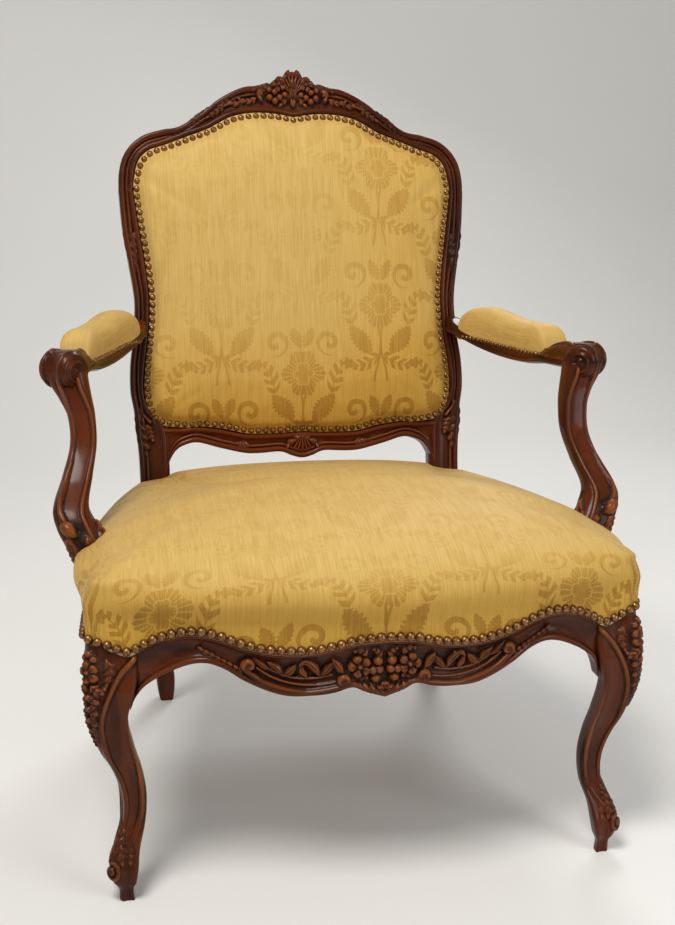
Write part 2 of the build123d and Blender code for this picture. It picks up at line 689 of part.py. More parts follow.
def both_sides(shapes):
    return shapes + [mirrored(shape) for shape in shapes]


# Fasteners and nails

def nail(head_radius, head_rise):
    """A round-headed nail on the Z axis, its head above zero and its shank below."""
    tip = -nail_shank_length
    taper = tip * nail_point_share
    crown = (head_radius * nail_crown_shares[0], head_rise * nail_crown_shares[1])
    profile = [[(0, head_rise), crown, (head_radius, 0)],
               [(head_radius, 0), (nail_shank_radius, 0)],
               [(nail_shank_radius, 0), (nail_shank_radius, taper)],
               [(nail_shank_radius, taper), (0, tip)],
               [(0, tip), (0, head_rise)]]
    wire = ring(profile, lambda a, b: Vector(a, 0, b))
    return Solid.revolve(Face(wire), 360, Axis.Z)


def nails_along(path, pitch, outward, kind):
    """Copies of a nail at even steps along a path, each pointing outward from its direction there."""
    count = round(path.length / pitch)
    heads = []
    for k in range(count if path.is_closed else count + 1):
        way = path.length * k / count
        place = path.position_at(way, position_mode=PositionMode.LENGTH)
        along = path.tangent_at(way, position_mode=PositionMode.LENGTH)
        heads.append(Plane(origin=place, z_dir=outward(along)).location * kind)
    return heads


# Joints of the wooden frame

def seat_joints(grow):
    """Tenons of the right side, or their mortises: what carries each, what takes it, and its box."""
    half = tenon_thickness / 2
    top = seat_frame_height - block_drop
    low = top - tenon_height
    front_y = rail_thickness * tenon_place_share - front_face(leg_inner)
    side_x = side_face(leg_back) - rail_thickness / 2
    rear_x = side_face(back_reach) - rail_thickness / 2
    rear_y = rear_rail_front + rail_thickness / 2
    joints = [("front", "leg", (leg_inner - tenon_root, front_y - half, low),
               (leg_inner + tenon_length, front_y + half, top)),
              ("side", "leg", (side_x - half, leg_back - tenon_length, low),
               (side_x + half, leg_back + tenon_root, top)),
              ("side", "post", (rear_x - half, back_reach - tenon_root, low),
               (rear_x + half, back_reach + tenon_length, top)),
              ("rear", "post", (lower_opening_half - tenon_root, rear_y - half, low),
               (lower_opening_half + tenon_length, rear_y + half, top))]
    foot_x = side_face(support_foot_y) - rail_thickness / 2
    joints.append(("support", "side", (foot_x - half, support_foot_y - tenon_thickness,
                                       seat_frame_height - tenon_length),
                   (foot_x + half, support_foot_y + tenon_thickness, seat_frame_height + tenon_root)))
    crown_x, crown_y = seat_half_width * support_shares[-1][1], -front_reach * support_shares[-1][2]
    crown_z = arm_frame * arm_shares[-1][3]
    joints.append(("support", "arm", (crown_x - tenon_thickness, crown_y - half, crown_z - tenon_length),
                   (crown_x + tenon_thickness, crown_y + half, crown_z + tenon_length / 2)))
    tail_x = rear_half_width * arm_shares[0][1] - bead_width / 2
    tail_top = arm_frame * arm_shares[0][4] - bead_rise
    tail_y = back_reach + (tail_top - back_base_height) * lean_sin / lean_cos
    joints.append(("arm", "post", (tail_x - half, tail_y - tenon_root, tail_top - tenon_thickness),
                   (tail_x + half, tail_y + tenon_length, tail_top)))
    return [(carrier, taker, box_between(a, b, grow)) for carrier, taker, a, b in joints]


def back_joints(grow):
    """Tenons of the back frame's right side, or their mortises, on the leaning back."""
    near = (frame_thickness - tenon_thickness) / 2 + bead_rise
    far = near + tenon_thickness
    low, high = (back_rise * share for share in lower_rail_shares[1][1:])
    shoulder = back_rise * stile_shares[-1][0]
    wide = back_half_width * stile_shares[-1][2]
    boxes = [("lower", (lower_opening_half - tenon_root, low + bead_rise, near),
              (lower_opening_half + tenon_length, high - bead_rise, far)),
             ("crest", (wide - bead_width, shoulder - tenon_length, near),
              (wide + tenon_thickness + bead_rise, shoulder + tenon_root, far))]
    return [(carrier, "post", back_box(a, b, grow)) for carrier, a, b in boxes]


def join(wood):
    """Joins each tenon to the piece that carries it and cuts its mortise in the other piece."""
    tenons = seat_joints(0) + back_joints(0)
    mortises = seat_joints(joint_clearance) + back_joints(joint_clearance)
    for (carrier, taker, tenon), (_, _, mortise) in zip(tenons, mortises):
        sides = both_sides([tenon]) if carrier in whole_pieces else [tenon]
        for side in sides:
            wood[carrier] = one(wood[carrier].fuse(side))
        wood[taker] = one(wood[taker].cut(mortise))


def seat_peg_lines():
    """Ends of the pegs through the seat frame's tenons on the right side, with what each one locks."""
    high = seat_frame_height - block_drop - tenon_height / 3
    low = high - tenon_height / 3
    half = tenon_thickness / 2
    front_x, side_y = leg_inner + tenon_length / 2, leg_back - tenon_length / 2
    side_x = side_face(leg_back) - rail_thickness / 2 + half + peg_margin
    quarter = leg_block_half / 4
    leg_x, leg_y = seat_half_width * front_leg_shares[-1][1], -front_reach * front_leg_shares[-1][2]
    rear_x, rear_y = side_face(back_reach) - rail_thickness / 2, rear_rail_front + rail_thickness / 2
    foot_x = side_face(support_foot_y)
    front_y = rail_thickness * tenon_place_share - front_face(leg_inner)
    return [(("leg", "front"), (front_x, leg_y + quarter, high),
             (front_x, front_y - half - peg_margin, high)),
            (("leg", "side"), (leg_x - quarter, side_y, low), (side_x, side_y, low)),
            (("post", "side"), (rear_half_width - peg_margin, back_reach + tenon_length / 2, high),
             (rear_x - half - peg_margin, back_reach + tenon_length / 2, high)),
            (("post", "rear"), (lower_opening_half + tenon_length / 2, rear_y + rail_thickness / 3, low),
             (lower_opening_half + tenon_length / 2, rear_y - half - peg_margin, low)),
            (("side", "support"), (foot_x - rail_thickness + peg_margin, support_foot_y, high),
             (foot_x - rail_thickness / 2 + half + peg_margin, support_foot_y, high))]


def back_peg_lines():
    """Ends of the pegs through the back frame's tenons on the right side."""
    near = (frame_thickness - tenon_thickness) / 2 - peg_margin / 2
    low, high = (back_rise * share for share in lower_rail_shares[1][1:])
    shoulder = back_rise * stile_shares[-1][0] - tenon_length / 2
    wide = back_half_width * stile_shares[-1][2] + bead_rise
    spots = [("lower", lower_opening_half + tenon_length / 2, (low + high) / 2), ("crest", wide, shoulder)]
    return [(("post", name), tuple(back_place(across, up, frame_thickness - peg_margin)),
             tuple(back_place(across, up, near))) for name, across, up in spots]


def pegs_for(lines, wood):
    """Pegs on the given lines; each peg's hole is drilled in the two pieces that it locks."""
    pegs = []
    for names, start, end in lines:
        pegs.append(rod(start, end, peg_diameter / 2))
        hole = rod(start, end, peg_diameter / 2 + peg_clearance)
        for name in names:
            tools = both_sides([hole]) if name in whole_pieces else [hole]
            wood[name] = without(wood[name], tools)
    return pegs


def corner_block(shares, half_width, reach, neighbours):
    """A three-sided block glued in a corner of the seat frame, cut to the pieces around it."""
    base = seat_frame_height - block_drop - block_height
    points = [(half_width * across, reach * deep) for across, deep in shares]
    block = prism(points, lambda a, b: Vector(a, b, base), (0, 0, block_height))
    return without(block, neighbours)


def screw(start, direction, grow=0.0):
    """A countersunk wood screw from its head's top, or the hole for it with a bore behind the head."""
    radius = screw_head_diameter / 2 + grow
    axis = Vector(*direction)
    shank = rod(start, Vector(*start) + axis * (screw_length + grow), screw_diameter / 2 + grow)
    head = Solid.make_cone(radius, screw_diameter / 2 + grow, screw_head_height,
                           Plane(origin=start, z_dir=direction))
    whole = head.fuse(shank)
    if grow:
        whole = one(whole).fuse(rod(Vector(*start) - axis * screw_length, start, radius))
    return one(whole)


def block_screw_lines():
    """Starts and directions of the screws through the corner blocks on the right side."""
    height = seat_frame_height - block_drop - block_height / 2
    lines = []
    for shares, half_width, reach, sign in ((front_screw_shares, seat_half_width, front_reach, -1),
                                            (rear_screw_shares, rear_half_width, back_reach, 1)):
        (a, b), (c, d) = shares
        lines.append(((half_width * a, reach * b, height), (0, sign, 0)))
        lines.append(((half_width * c, reach * d, height), (1, 0, 0)))
    return lines


def arm_screw_line():
    """The screw from behind the stile into the arm's tail, under its tenon."""
    x = rear_half_width * arm_shares[0][1]
    z = arm_frame * arm_shares[0][3] + screw_head_diameter / 2
    y = back_reach + (z - back_base_height) * lean_sin / lean_cos + frame_thickness / lean_cos
    return (x, y - screw_head_height, z), (0, -1, 0)


# Upholstery pieces

def flat_strip(points, low):
    return prism(points, lambda a, b: Vector(a, b, low), (0, 0, webbing_thickness))


def seat_webbing():
    """Strips across the seat, and strips from front to back lying on them."""
    half = webbing_width / 2
    rows = [support_foot_y - webbing_width - half / 2]
    rows += [support_foot_y + webbing_spacing * (k + webbing_start_share) for k in range(webbing_rows)]
    cross = []
    for y in rows:
        front, rear = side_face(y - half) - webbing_inset, side_face(y + half) - webbing_inset
        points = [(-front, y - half), (front, y - half), (rear, y + half), (-rear, y + half)]
        cross.append(flat_strip(points, seat_frame_height))
    rear = rear_rail_front + rail_thickness - webbing_inset
    long = []
    for k in webbing_places:
        x = k * webbing_spacing
        left, right = (webbing_inset - front_face(x + side * half) for side in (-1, 1))
        points = [(x - half, left), (x + half, right), (x + half, rear), (x - half, rear)]
        long.append(flat_strip(points, seat_frame_height + webbing_thickness))
    return long, cross


def seat_soft_pieces(wood):
    """Canvas, stuffing and cover of the seat, clear of the posts and the arm supports."""
    spaces = both_sides([post_space(bead_rise), support_wood(layer_gap)])
    low = seat_frame_height + 2 * webbing_thickness
    points, _ = seat_outline(seat_dome_shares[0], -webbing_inset)
    flat = Face(ring(chain(points), lambda a, b: Vector(a, b, low)))
    canvas = without(Solid.extrude(flat, Vector(0, 0, canvas_thickness)), spaces)
    inside = -cover_thickness - layer_gap
    stuffing = without(seat_dome(inside - layer_gap, low + canvas_thickness), spaces)
    floor = seat_frame_height - seat_skirt_drop
    cover = without(seat_dome(-layer_gap, floor), [seat_dome(inside, floor - cover_thickness)])
    frame = [wood["front"], wood["rear"], *both_sides([wood["side"], wood["leg"]])]
    return canvas, stuffing, without(cover, spaces + skirt_trim() + frame)


def panel_webbing():
    """Webbing in the back's rebate: strips up the back, and strips across in front of them."""
    half = webbing_width / 2
    middle = back_rise * panel_centre_share
    floor = rebate_depth - webbing_thickness
    long, cross = [], []
    for k in webbing_places:
        x = k * webbing_spacing
        window = back_box((x - half, 0, floor), (x + half, back_rise, rebate_depth))
        plate = panel_plate(webbing_inset, floor - webbing_thickness, rebate_depth + webbing_thickness)
        long.append(one(plate.intersect(window)))
        v = middle + k * webbing_spacing
        window = back_box((-back_half_width, v - half, floor - webbing_thickness),
                          (back_half_width, v + half, floor))
        cross.append(one(plate.intersect(window)))
    return long, cross


def back_soft_pieces(wood):
    """Canvas, stuffing and cover on the back's front, and the cover on its rear."""
    frame = [wood["crest"], wood["lower"], *both_sides([wood["post"]])]
    base = rebate_depth - 2 * webbing_thickness - canvas_thickness
    canvas = panel_plate(webbing_inset, base, base + canvas_thickness)
    border = 2 * nail_edge_gap
    stuffing = panel_dome(border + cover_thickness + layer_gap, base, back_crown - layer_gap)
    hollow = panel_dome(border + cover_thickness - layer_gap, base + layer_gap, back_crown + 2 * layer_gap)
    skin = panel_dome(border, base - layer_gap, back_crown + cover_thickness)
    flange = panel_plate(2 * layer_gap, base - layer_gap - cover_thickness, base - layer_gap)
    cover = without(one(flange.fuse(skin)), [hollow] + frame)
    rear = frame_thickness + cover_thickness
    half_cover = cover_thickness / 2
    skin = panel_dome(border - outside_wrap, rear - half_cover, -outside_back_crown - half_cover)
    hollow = panel_dome(border - outside_wrap + cover_thickness, frame_thickness - layer_gap,
                        -outside_back_crown - layer_gap)
    flange = panel_plate(-outside_wrap, frame_thickness, rear)
    outside = without(one(flange.fuse(skin)), [hollow])
    return canvas, stuffing, cover, outside


def arm_soft_pieces(wood):
    """Stuffing and cover of the right arm's pad."""
    wrap = nail_edge_gap + arm_nail_head_radius
    stuffing = arm_pad_body(0, -layer_gap)
    outer = arm_pad_body(cover_thickness + layer_gap, wrap)
    inner = arm_pad_body(layer_gap, wrap + cover_thickness)
    return without(stuffing, [wood["arm"]]), without(outer, [inner, wood["arm"]])


# Rows of nails

def sideways(along):
    """Outward direction on the right of a level path."""
    return Vector(along.Y, -along.X, 0)


def line_of(points, closed=False):
    return Edge.make_spline([Vector(*point) for point in points], periodic=closed)


def front_nails(kind):
    """The row along the front, from one rounded corner to the other."""
    corner = seat_half_width * outline_corner_share
    right = [(seat_half_width * share, layer_gap - front_face(seat_half_width * share))
             for share in outline_front_shares]
    right.append((corner, layer_gap + bead_width - front_face(seat_half_width)))
    points = [(-x, y, nail_height(x)) for x, y in reversed(right[1:])]
    points += [(x, y, nail_height(x)) for x, y in right]
    return nails_along(line_of(points), nail_pitch, sideways, kind)


def side_nails(kind):
    """The row along the right side, from behind the front corner to the post."""
    start, end = -front_corner_reach - bead_width, back_reach - nail_pitch / 2
    points = []
    for k in range(trim_steps + 1):
        y = start + (end - start) * k / trim_steps
        points.append((side_face(y) - layer_gap, y, side_nail_height(y)))
    return nails_along(line_of(points), nail_pitch, sideways, kind)


def rear_nails(kind):
    """The row on the rear rail's back, between the posts."""
    y = back_reach + rail_thickness + rebate_depth - layer_gap
    half = lower_opening_half - nail_pitch
    z = side_nail_height(back_reach)
    return nails_along(Edge.make_line((half, y, z), (-half, y, z)), nail_pitch, sideways, kind)


def panel_nails(kind, draw_in, behind, direction):
    """A closed row of nails round the back, on its front or on its rear."""
    path = ring(chain(panel_points(draw_in)), lambda a, b: back_place(a, b, behind))
    normal = Vector(0, direction * lean_cos, -direction * lean_sin)
    return nails_along(path, nail_pitch, lambda along: normal, kind)


def arm_nails(kind):
    """A closed row round the lower edge of the right arm's pad."""
    length = arm_pad_start - arm_pad_end
    outside = cover_thickness + layer_gap
    centres = [row[:2] for row in arm_neck_shares]
    tops = [(row[0], row[3]) for row in arm_neck_shares]
    outer, inner = [], []
    for share, wide in arm_nail_shares:
        y = arm_pad_start - length * share
        x = rear_half_width * table_value(centres, y / back_reach)
        z = arm_frame * table_value(tops, y / back_reach) - nail_edge_gap
        y += outside * (1 - 2 * share)
        half = (arm_neck_half + outside) * wide
        outer.append((x + half, y, z))
        inner.append((x - half, y, z))
    points = outer + list(reversed(inner[1:-1]))
    return nails_along(line_of(points, True), arm_nail_pitch, lambda t: Vector(-t.Y, t.X, 0), kind)


# Building the chair

os.makedirs("parts", exist_ok=True)

leg, post = front_leg(), rear_post()
posts = both_sides([post])
wood = {"leg": leg, "post": post, "crest": loft_of(crest_wires()),
        "lower": without(loft_of(lower_rail_wires(lower_rail_end)), posts),
        "front": without(front_rail_body(leg_inner + bead_width), both_sides([leg])),
        "rear": without(rear_rail_body(), posts),
        "side": without(side_rail_body(leg_back - bead_width, back_reach + bead_width), [leg, post]),
        "arm": without(arm_wood(), [post])}
wood["support"] = without(support_wood(), [wood["arm"]])
front_block = corner_block(front_block_shares, seat_half_width, front_reach,
                           [wood["front"], wood["side"], leg])
rear_block = corner_block(rear_block_shares, rear_half_width, back_reach,
                          [wood["rear"], wood["side"], post])
join(wood)
seat_pegs = pegs_for(seat_peg_lines(), wood)
back_pegs = pegs_for(back_peg_lines(), wood)

block_screws = [screw(*line) for line in block_screw_lines()]
holes = [screw(*line, screw_clearance) for line in block_screw_lines()]
front_block = without(front_block, holes[:2])
rear_block = without(rear_block, holes[2:])
wood["front"] = without(wood["front"], both_sides(holes[:1]))
wood["rear"] = without(wood["rear"], both_sides(holes[2:3]))
wood["side"] = without(wood["side"], [holes[1], holes[3]])
arm_screw = screw(*arm_screw_line())
arm_hole = screw(*arm_screw_line(), screw_clearance)
wood["arm"] = without(wood["arm"], [arm_hole])
wood["post"] = without(wood["post"], [arm_hole])

for piece, name in (("leg", "front_leg"), ("post", "rear_post"), ("side", "seat_rail"), ("arm", "arm"),
                    ("support", "arm_support")):
    save(name + "_right", wood[piece])
    save(name + "_left", mirrored(wood[piece]))
for piece, name in (("front", "seat_rail_front"), ("rear", "seat_rail_rear"), ("crest", "crest_rail"),
                    ("lower", "back_lower_rail")):
    save(name, wood[piece])
for name, block in (("corner_block_front", front_block), ("corner_block_rear", rear_block)):
    save(name + "_right", block)
    save(name + "_left", mirrored(block))
save("seat_joint_pegs", *both_sides(seat_pegs))
save("back_joint_pegs", *both_sides(back_pegs))
save("corner_block_screws", *both_sides(block_screws))
save("arm_screws", *both_sides([arm_screw]))

webbing_long, webbing_cross = seat_webbing()
canvas, stuffing, cover = seat_soft_pieces(wood)
save("seat_webbing_long", *webbing_long)
save("seat_webbing_cross", *webbing_cross)
save("seat_canvas", canvas)
save("seat_stuffing", stuffing)
save("seat_cover", cover)

webbing_long, webbing_cross = panel_webbing()
canvas, stuffing, cover, outside = back_soft_pieces(wood)
save("back_webbing_long", *webbing_long)
save("back_webbing_cross", *webbing_cross)
save("back_canvas", canvas)
save("back_stuffing", stuffing)
save("inside_back_cover", cover)
save("outside_back_cover", outside)

stuffing, cover = arm_soft_pieces(wood)
save("arm_pad_right", stuffing)
save("arm_pad_left", mirrored(stuffing))
save("arm_cover_right", cover)
save("arm_cover_left", mirrored(cover))

large_nail = nail(nail_head_radius, nail_head_rise)
small_nail = nail(arm_nail_head_radius, arm_nail_head_rise)
right_side = side_nails(large_nail)
right_arm = arm_nails(small_nail)
front_depth = rebate_depth - 2 * webbing_thickness - canvas_thickness - layer_gap - cover_thickness
save("seat_nails_front", *front_nails(large_nail))
save("seat_nails_right", *right_side)
save("seat_nails_left", *[mirrored(head) for head in right_side])
save("seat_nails_rear", *rear_nails(large_nail))
save("inside_back_nails", *panel_nails(large_nail, nail_edge_gap, front_depth, -1))
save("outside_back_nails", *panel_nails(large_nail, nail_edge_gap - outside_wrap,
                                        frame_thickness + cover_thickness, 1))
save("arm_nails_right", *right_arm)
save("arm_nails_left", *[mirrored(head) for head in right_arm])
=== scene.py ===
# %% [markdown]
# # A carved armchair, dressed piece by piece
# The CAD model gives the chair's joinery and its sizes. This file gives it the looks: carved walnut with
# wax in its hollows, a ribbed yellow damask stretched over stuffing, and rows of bronze-coloured nails.
# Nearly every new surface is a grid of points worked out with numpy from a short formula.

# %% Load the frame
import json

import bpy
import numpy as np
from mathutils import Matrix, Vector


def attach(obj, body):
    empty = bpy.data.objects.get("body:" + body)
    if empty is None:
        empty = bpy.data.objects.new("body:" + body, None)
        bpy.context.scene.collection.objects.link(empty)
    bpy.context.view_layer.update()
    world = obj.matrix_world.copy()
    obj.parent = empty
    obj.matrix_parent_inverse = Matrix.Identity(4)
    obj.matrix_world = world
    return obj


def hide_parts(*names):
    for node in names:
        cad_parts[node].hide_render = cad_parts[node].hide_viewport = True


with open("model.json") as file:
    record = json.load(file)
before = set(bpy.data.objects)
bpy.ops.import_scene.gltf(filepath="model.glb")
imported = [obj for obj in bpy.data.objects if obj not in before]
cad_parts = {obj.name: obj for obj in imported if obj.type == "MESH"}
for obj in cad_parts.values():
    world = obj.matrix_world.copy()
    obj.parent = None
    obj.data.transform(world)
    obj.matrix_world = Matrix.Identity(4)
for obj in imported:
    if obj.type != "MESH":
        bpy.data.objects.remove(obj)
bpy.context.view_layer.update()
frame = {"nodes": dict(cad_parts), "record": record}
nodes = frame["nodes"]

# %% [markdown]
# ## Sizes shared with the CAD model
# The chair is drawn in millimetres with the floor at zero, the front at minus Y and the back leaning by ten
# degrees. The frame's origin is under the middle of the chair's depth, so `to_metres` moves the points back
# by that half depth. The short tables below repeat the CAD model's own outlines as shares of its sizes.

# %% Sizes
SEAT_TOP, SEAT_HALF, REAR_HALF = 345.0, 331.0, 250.0
FRONT_REACH, BACK_REACH, CORNER_REACH = 336.0, 232.0, 336.0 * 0.76
BACK_BASE, BACK_RISE, BACK_HALF, FRAME_DEEP = 300.0, 681.0, 263.5, 34.0
LEAN = np.radians(10.0)
DEPTH_CENTRE = (BACK_REACH + BACK_RISE * np.sin(LEAN) + FRAME_DEEP * np.cos(LEAN) - FRONT_REACH - 11.0) / 2


def to_metres(points):
    """Chair millimetres to the frame's metres: Y loses the half depth, then all is divided by a thousand."""
    return (np.asarray(points, float) - (0, DEPTH_CENTRE, 0)) / 1000


def back_point(across, up, forward):
    """The leaning back: a point is moved up the slope, and forward along the slope's own normal."""
    across, up, forward = np.broadcast_arrays(across, up, forward)
    y = BACK_REACH + up * np.sin(LEAN) - forward * np.cos(LEAN)
    z = BACK_BASE + up * np.cos(LEAN) + forward * np.sin(LEAN)
    return np.stack([across, y, z], -1)


def smooth(rows, places):
    """Columns of a table at given places of its first column, on a cubic through the rows with the slope
    at each row taken from its two neighbours."""
    rows = np.asarray(sorted(map(tuple, rows)), float)
    places = np.clip(np.asarray(places, float), rows[0, 0], rows[-1, 0])
    spots, values = rows[:, 0], rows[:, 1:]
    low = np.maximum(np.arange(len(rows)) - 1, 0)
    high = np.minimum(np.arange(len(rows)) + 1, len(rows) - 1)
    slopes = (values[high] - values[low]) / (spots[high] - spots[low])[:, None]
    k = np.clip(np.searchsorted(spots, places, side="right") - 1, 0, len(rows) - 2)
    step = (spots[k + 1] - spots[k])[..., None]
    t = (places - spots[k])[..., None] / step
    rise = values[k + 1] - values[k]
    bend = (1 - t) * (slopes[k] * step - rise) - t * (slopes[k + 1] * step - rise)
    return values[k] + t * rise + t * (1 - t) * bend


# %% [markdown]
# ## Camera
# The photograph was taken from a little left of the middle and from above the arms. Its camera was worked out
# from the chair's own points, such as feet, corners and the crest. The picture had been cropped off centre,
# which a small lens shift repeats.

# %% Camera
PHOTO_WIDE, PHOTO_TALL = 675, 925
camera_place = to_metres((-289.921, -1557.455, 814.409))
camera_right = (0.979093, -0.203013, 0.012725)
camera_up = (0.046106, 0.282419, 0.958182)
camera_ahead = (0.198117, 0.937563, -0.285875)
focal, centre_x, centre_y = 1200.0, 359.714, 539.077
SENSOR = 36.0

camera_data = bpy.data.cameras.new("camera")
camera = bpy.data.objects.new("camera", camera_data)
bpy.context.scene.collection.objects.link(camera)
turn = Matrix((camera_right, camera_up, [-a for a in camera_ahead])).transposed()
camera.matrix_world = Matrix.Translation(Vector(camera_place)) @ turn.to_4x4()
camera_data.sensor_fit = "VERTICAL"
camera_data.sensor_height = SENSOR
camera_data.lens = focal * SENSOR / PHOTO_TALL
camera_data.shift_x = (PHOTO_WIDE / 2 - centre_x) / PHOTO_TALL
camera_data.shift_y = (centre_y - PHOTO_TALL / 2) / PHOTO_TALL
camera_data.clip_start = 0.05
bpy.context.scene.camera = camera
print("lens", round(camera_data.lens, 2), "mm")
print("shift", round(camera_data.shift_x, 4), round(camera_data.shift_y, 4))

# %% [markdown]
# ## Small helpers for materials
# A material is a small graph of nodes. These helpers add a node, set its values and link it in one line, so
# that each finish below reads as a recipe. `math_node` does one sum on one or two values or links.


# %% Material helpers
def new_material(name):
    material = bpy.data.materials.new(name)
    material.use_nodes = True
    tree = material.node_tree
    return material, tree, tree.nodes["Principled BSDF"]


def node(tree, kind, links=None, **settings):
    """Adds a node, sets its properties, and fills its inputs with values or with links from other sockets."""
    made = tree.nodes.new(kind)
    for key, value in settings.items():
        setattr(made, key, value)
    for key, value in (links or {}).items():
        if isinstance(value, bpy.types.NodeSocket):
            tree.links.new(value, made.inputs[key])
        else:
            made.inputs[key].default_value = value
    return made


def math_node(tree, operation, a, b=0.0, c=0.0):
    return node(tree, "ShaderNodeMath", {0: a, 1: b, 2: c}, operation=operation).outputs[0]


def mix_colours(tree, share, a, b, blend="MIX"):
    made = node(tree, "ShaderNodeMix", {0: share, 6: a, 7: b}, data_type="RGBA", blend_type=blend)
    return made.outputs[2]


def remap(tree, value, low, high, to_low=0.0, to_high=1.0):
    """A value between two limits stretched to new limits, with a soft start and end."""
    links = {0: value, 1: low, 2: high, 3: to_low, 4: to_high}
    return node(tree, "ShaderNodeMapRange", links, interpolation_type="SMOOTHSTEP").outputs[0]


def new_group(name, inputs, outputs):
    """A node group with named sockets; returns the group, its input node and its output node."""
    group = bpy.data.node_groups.new(name, "ShaderNodeTree")
    for label, kind, value in inputs:
        socket = group.interface.new_socket(label, in_out="INPUT", socket_type=kind)
        if value is not None:
            socket.default_value = value
    for label, kind in outputs:
        group.interface.new_socket(label, in_out="OUTPUT", socket_type=kind)
    return group, group.nodes.new("NodeGroupInput"), group.nodes.new("NodeGroupOutput")


def noise(tree, where, scale, detail, **more):
    """Soft noise from 0 to 1 on a place in metres."""
    links = {"Vector": where, "Scale": scale, "Detail": detail, **more}
    return node(tree, "ShaderNodeTexNoise", links).outputs[0]


def object_place(tree):
    return node(tree, "ShaderNodeTexCoord").outputs["Object"]


def use_group(tree, group, links):
    return node(tree, "ShaderNodeGroup", links, node_tree=group).outputs


def shaded(colour, share):
    """A colour times a share, or three shares, with full opacity."""
    return (*np.minimum(np.multiply(colour, share), 1.0).tolist(), 1)


def set_inputs(shader, **values):
    """Fixed values on the shader's own sockets, whose names are written with _ for a space."""
    for key, value in values.items():
        shader.inputs[key.replace("_", " ")].default_value = value


def finish_shader(tree, shader, colour, height, strength, distance):
    """Links the colour, and the height as a small bump."""
    tree.links.new(colour, shader.inputs["Base Color"])
    bump = node(tree, "ShaderNodeBump", {"Height": height, "Strength": strength, "Distance": distance})
    tree.links.new(bump.outputs[0], shader.inputs["Normal"])


# %% [markdown]
# ## Waxed walnut
# Old walnut shows long streaks of brown and fine dark pores along the grain. The streaks are noise stretched
# along the grain. On the carving, light and shade are painted into the colour: the ridges get a painted
# highlight, the hollows get painted shade, and dust lies in patches in the hollows. The hollows and ridges
# come from the carving itself: each carved mesh stores how far every point lies above or below its
# surroundings in an attribute called `relief`, from minus one to one.

# %% Wood groups
FLOAT, VECTOR = "NodeSocketFloat", "NodeSocketVector"

grain_group, grain_in, grain_out = new_group(
    "wood_grain", [("Along", VECTOR, None)], [("Streaks", FLOAT), ("Pores", FLOAT), ("Mottle", FLOAT)])
along_grain = grain_in.outputs["Along"]
streaks = noise(grain_group, along_grain, 26.0, 5.0, Roughness=0.6, Distortion=0.6)
pores = noise(grain_group, along_grain, 160.0, 3.0, Roughness=0.7)
pore_mask, mottle = remap(grain_group, pores, 0.60, 0.74), noise(grain_group, along_grain, 7.0, 3.0)
for value, label in ((streaks, "Streaks"), (pore_mask, "Pores"), (mottle, "Mottle")):
    grain_group.links.new(value, grain_out.inputs[label])

relief_shading_group, relief_shading_in, relief_shading_out = new_group("painted_relief_shading_and_dust", [("Strength", FLOAT, 1.0)],
                                          [("Ridge", FLOAT), ("Hollow", FLOAT), ("Dust", FLOAT)])
# Painted light and shade: a highlight mask on the carved ridges, a shade mask in the hollows, and patches of
# dust in the hollows.
relief_value = node(relief_shading_group, "ShaderNodeAttribute", attribute_name="relief").outputs["Fac"]
patches = noise(relief_shading_group, object_place(relief_shading_group), 55.0, 3.0)
ridge = remap(relief_shading_group, relief_value, 0.12, 0.85)
hollow = remap(relief_shading_group, math_node(relief_shading_group, "MULTIPLY", relief_value, -1.0), 0.06, 0.6)
dusty = math_node(relief_shading_group, "MULTIPLY", hollow, remap(relief_shading_group, patches, 0.48, 0.66))
for value, label in ((ridge, "Ridge"), (hollow, "Hollow"), (dusty, "Dust")):
    relief_shading_group.links.new(math_node(relief_shading_group, "MULTIPLY", value, relief_shading_in.outputs["Strength"]),
                         relief_shading_out.inputs[label])


def wood_material(name, stretch, dark=(0.024, 0.0050, 0.0010), brown=(0.092, 0.0190, 0.0031), shading_and_dust_strength=1.0,
                  gloss=0.31):
    """Walnut with its grain along the axis of the smallest stretch value."""
    material, tree, shader = new_material(name)
    where = object_place(tree)
    along = node(tree, "ShaderNodeMapping", {"Vector": where, "Scale": stretch}).outputs[0]
    grain = use_group(tree, grain_group, {"Along": along})
    relief_shading_and_dust = use_group(tree, relief_shading_group, {"Strength": shading_and_dust_strength})
    tone = remap(tree, grain["Streaks"], 0.34, 0.66)
    colour = mix_colours(tree, tone, (*dark, 1), (*brown, 1))
    # Mottle and pores are the wood's own. The ridge layer is a painted highlight, the hollow layer is painted
    # shade, and the last layer is grey dust.
    layers = ((remap(tree, grain["Mottle"], 0.45, 0.68), 0.55, shaded(brown, (1.55, 1.25, 1.0))),
              (grain["Pores"], 0.55, shaded(dark, 0.35)),
              (relief_shading_and_dust["Ridge"], 0.70, shaded(brown, (2.7, 3.7, 4.6))),
              (relief_shading_and_dust["Hollow"], 0.88, shaded(dark, 0.42)),
              (relief_shading_and_dust["Dust"], 0.28, (0.085, 0.072, 0.058, 1)))
    for mask, most, layer in layers:
        colour = mix_colours(tree, math_node(tree, "MULTIPLY", mask, most), colour, layer)
    rough = math_node(tree, "MULTIPLY_ADD", relief_shading_and_dust["Hollow"], 0.34, gloss)
    rough = math_node(tree, "MULTIPLY_ADD", grain["Mottle"], 0.14, rough)
    tree.links.new(math_node(tree, "SUBTRACT", rough, 0.07), shader.inputs["Roughness"])
    set_inputs(shader, Specular_IOR_Level=0.11, Coat_Weight=0.17, Coat_Roughness=0.13)
    sunk = math_node(tree, "MULTIPLY", grain["Pores"], -0.5)
    height = math_node(tree, "MULTIPLY_ADD", grain["Streaks"], 0.4, sunk)
    finish_shader(tree, shader, colour, height, 0.35, 0.0004)
    return material


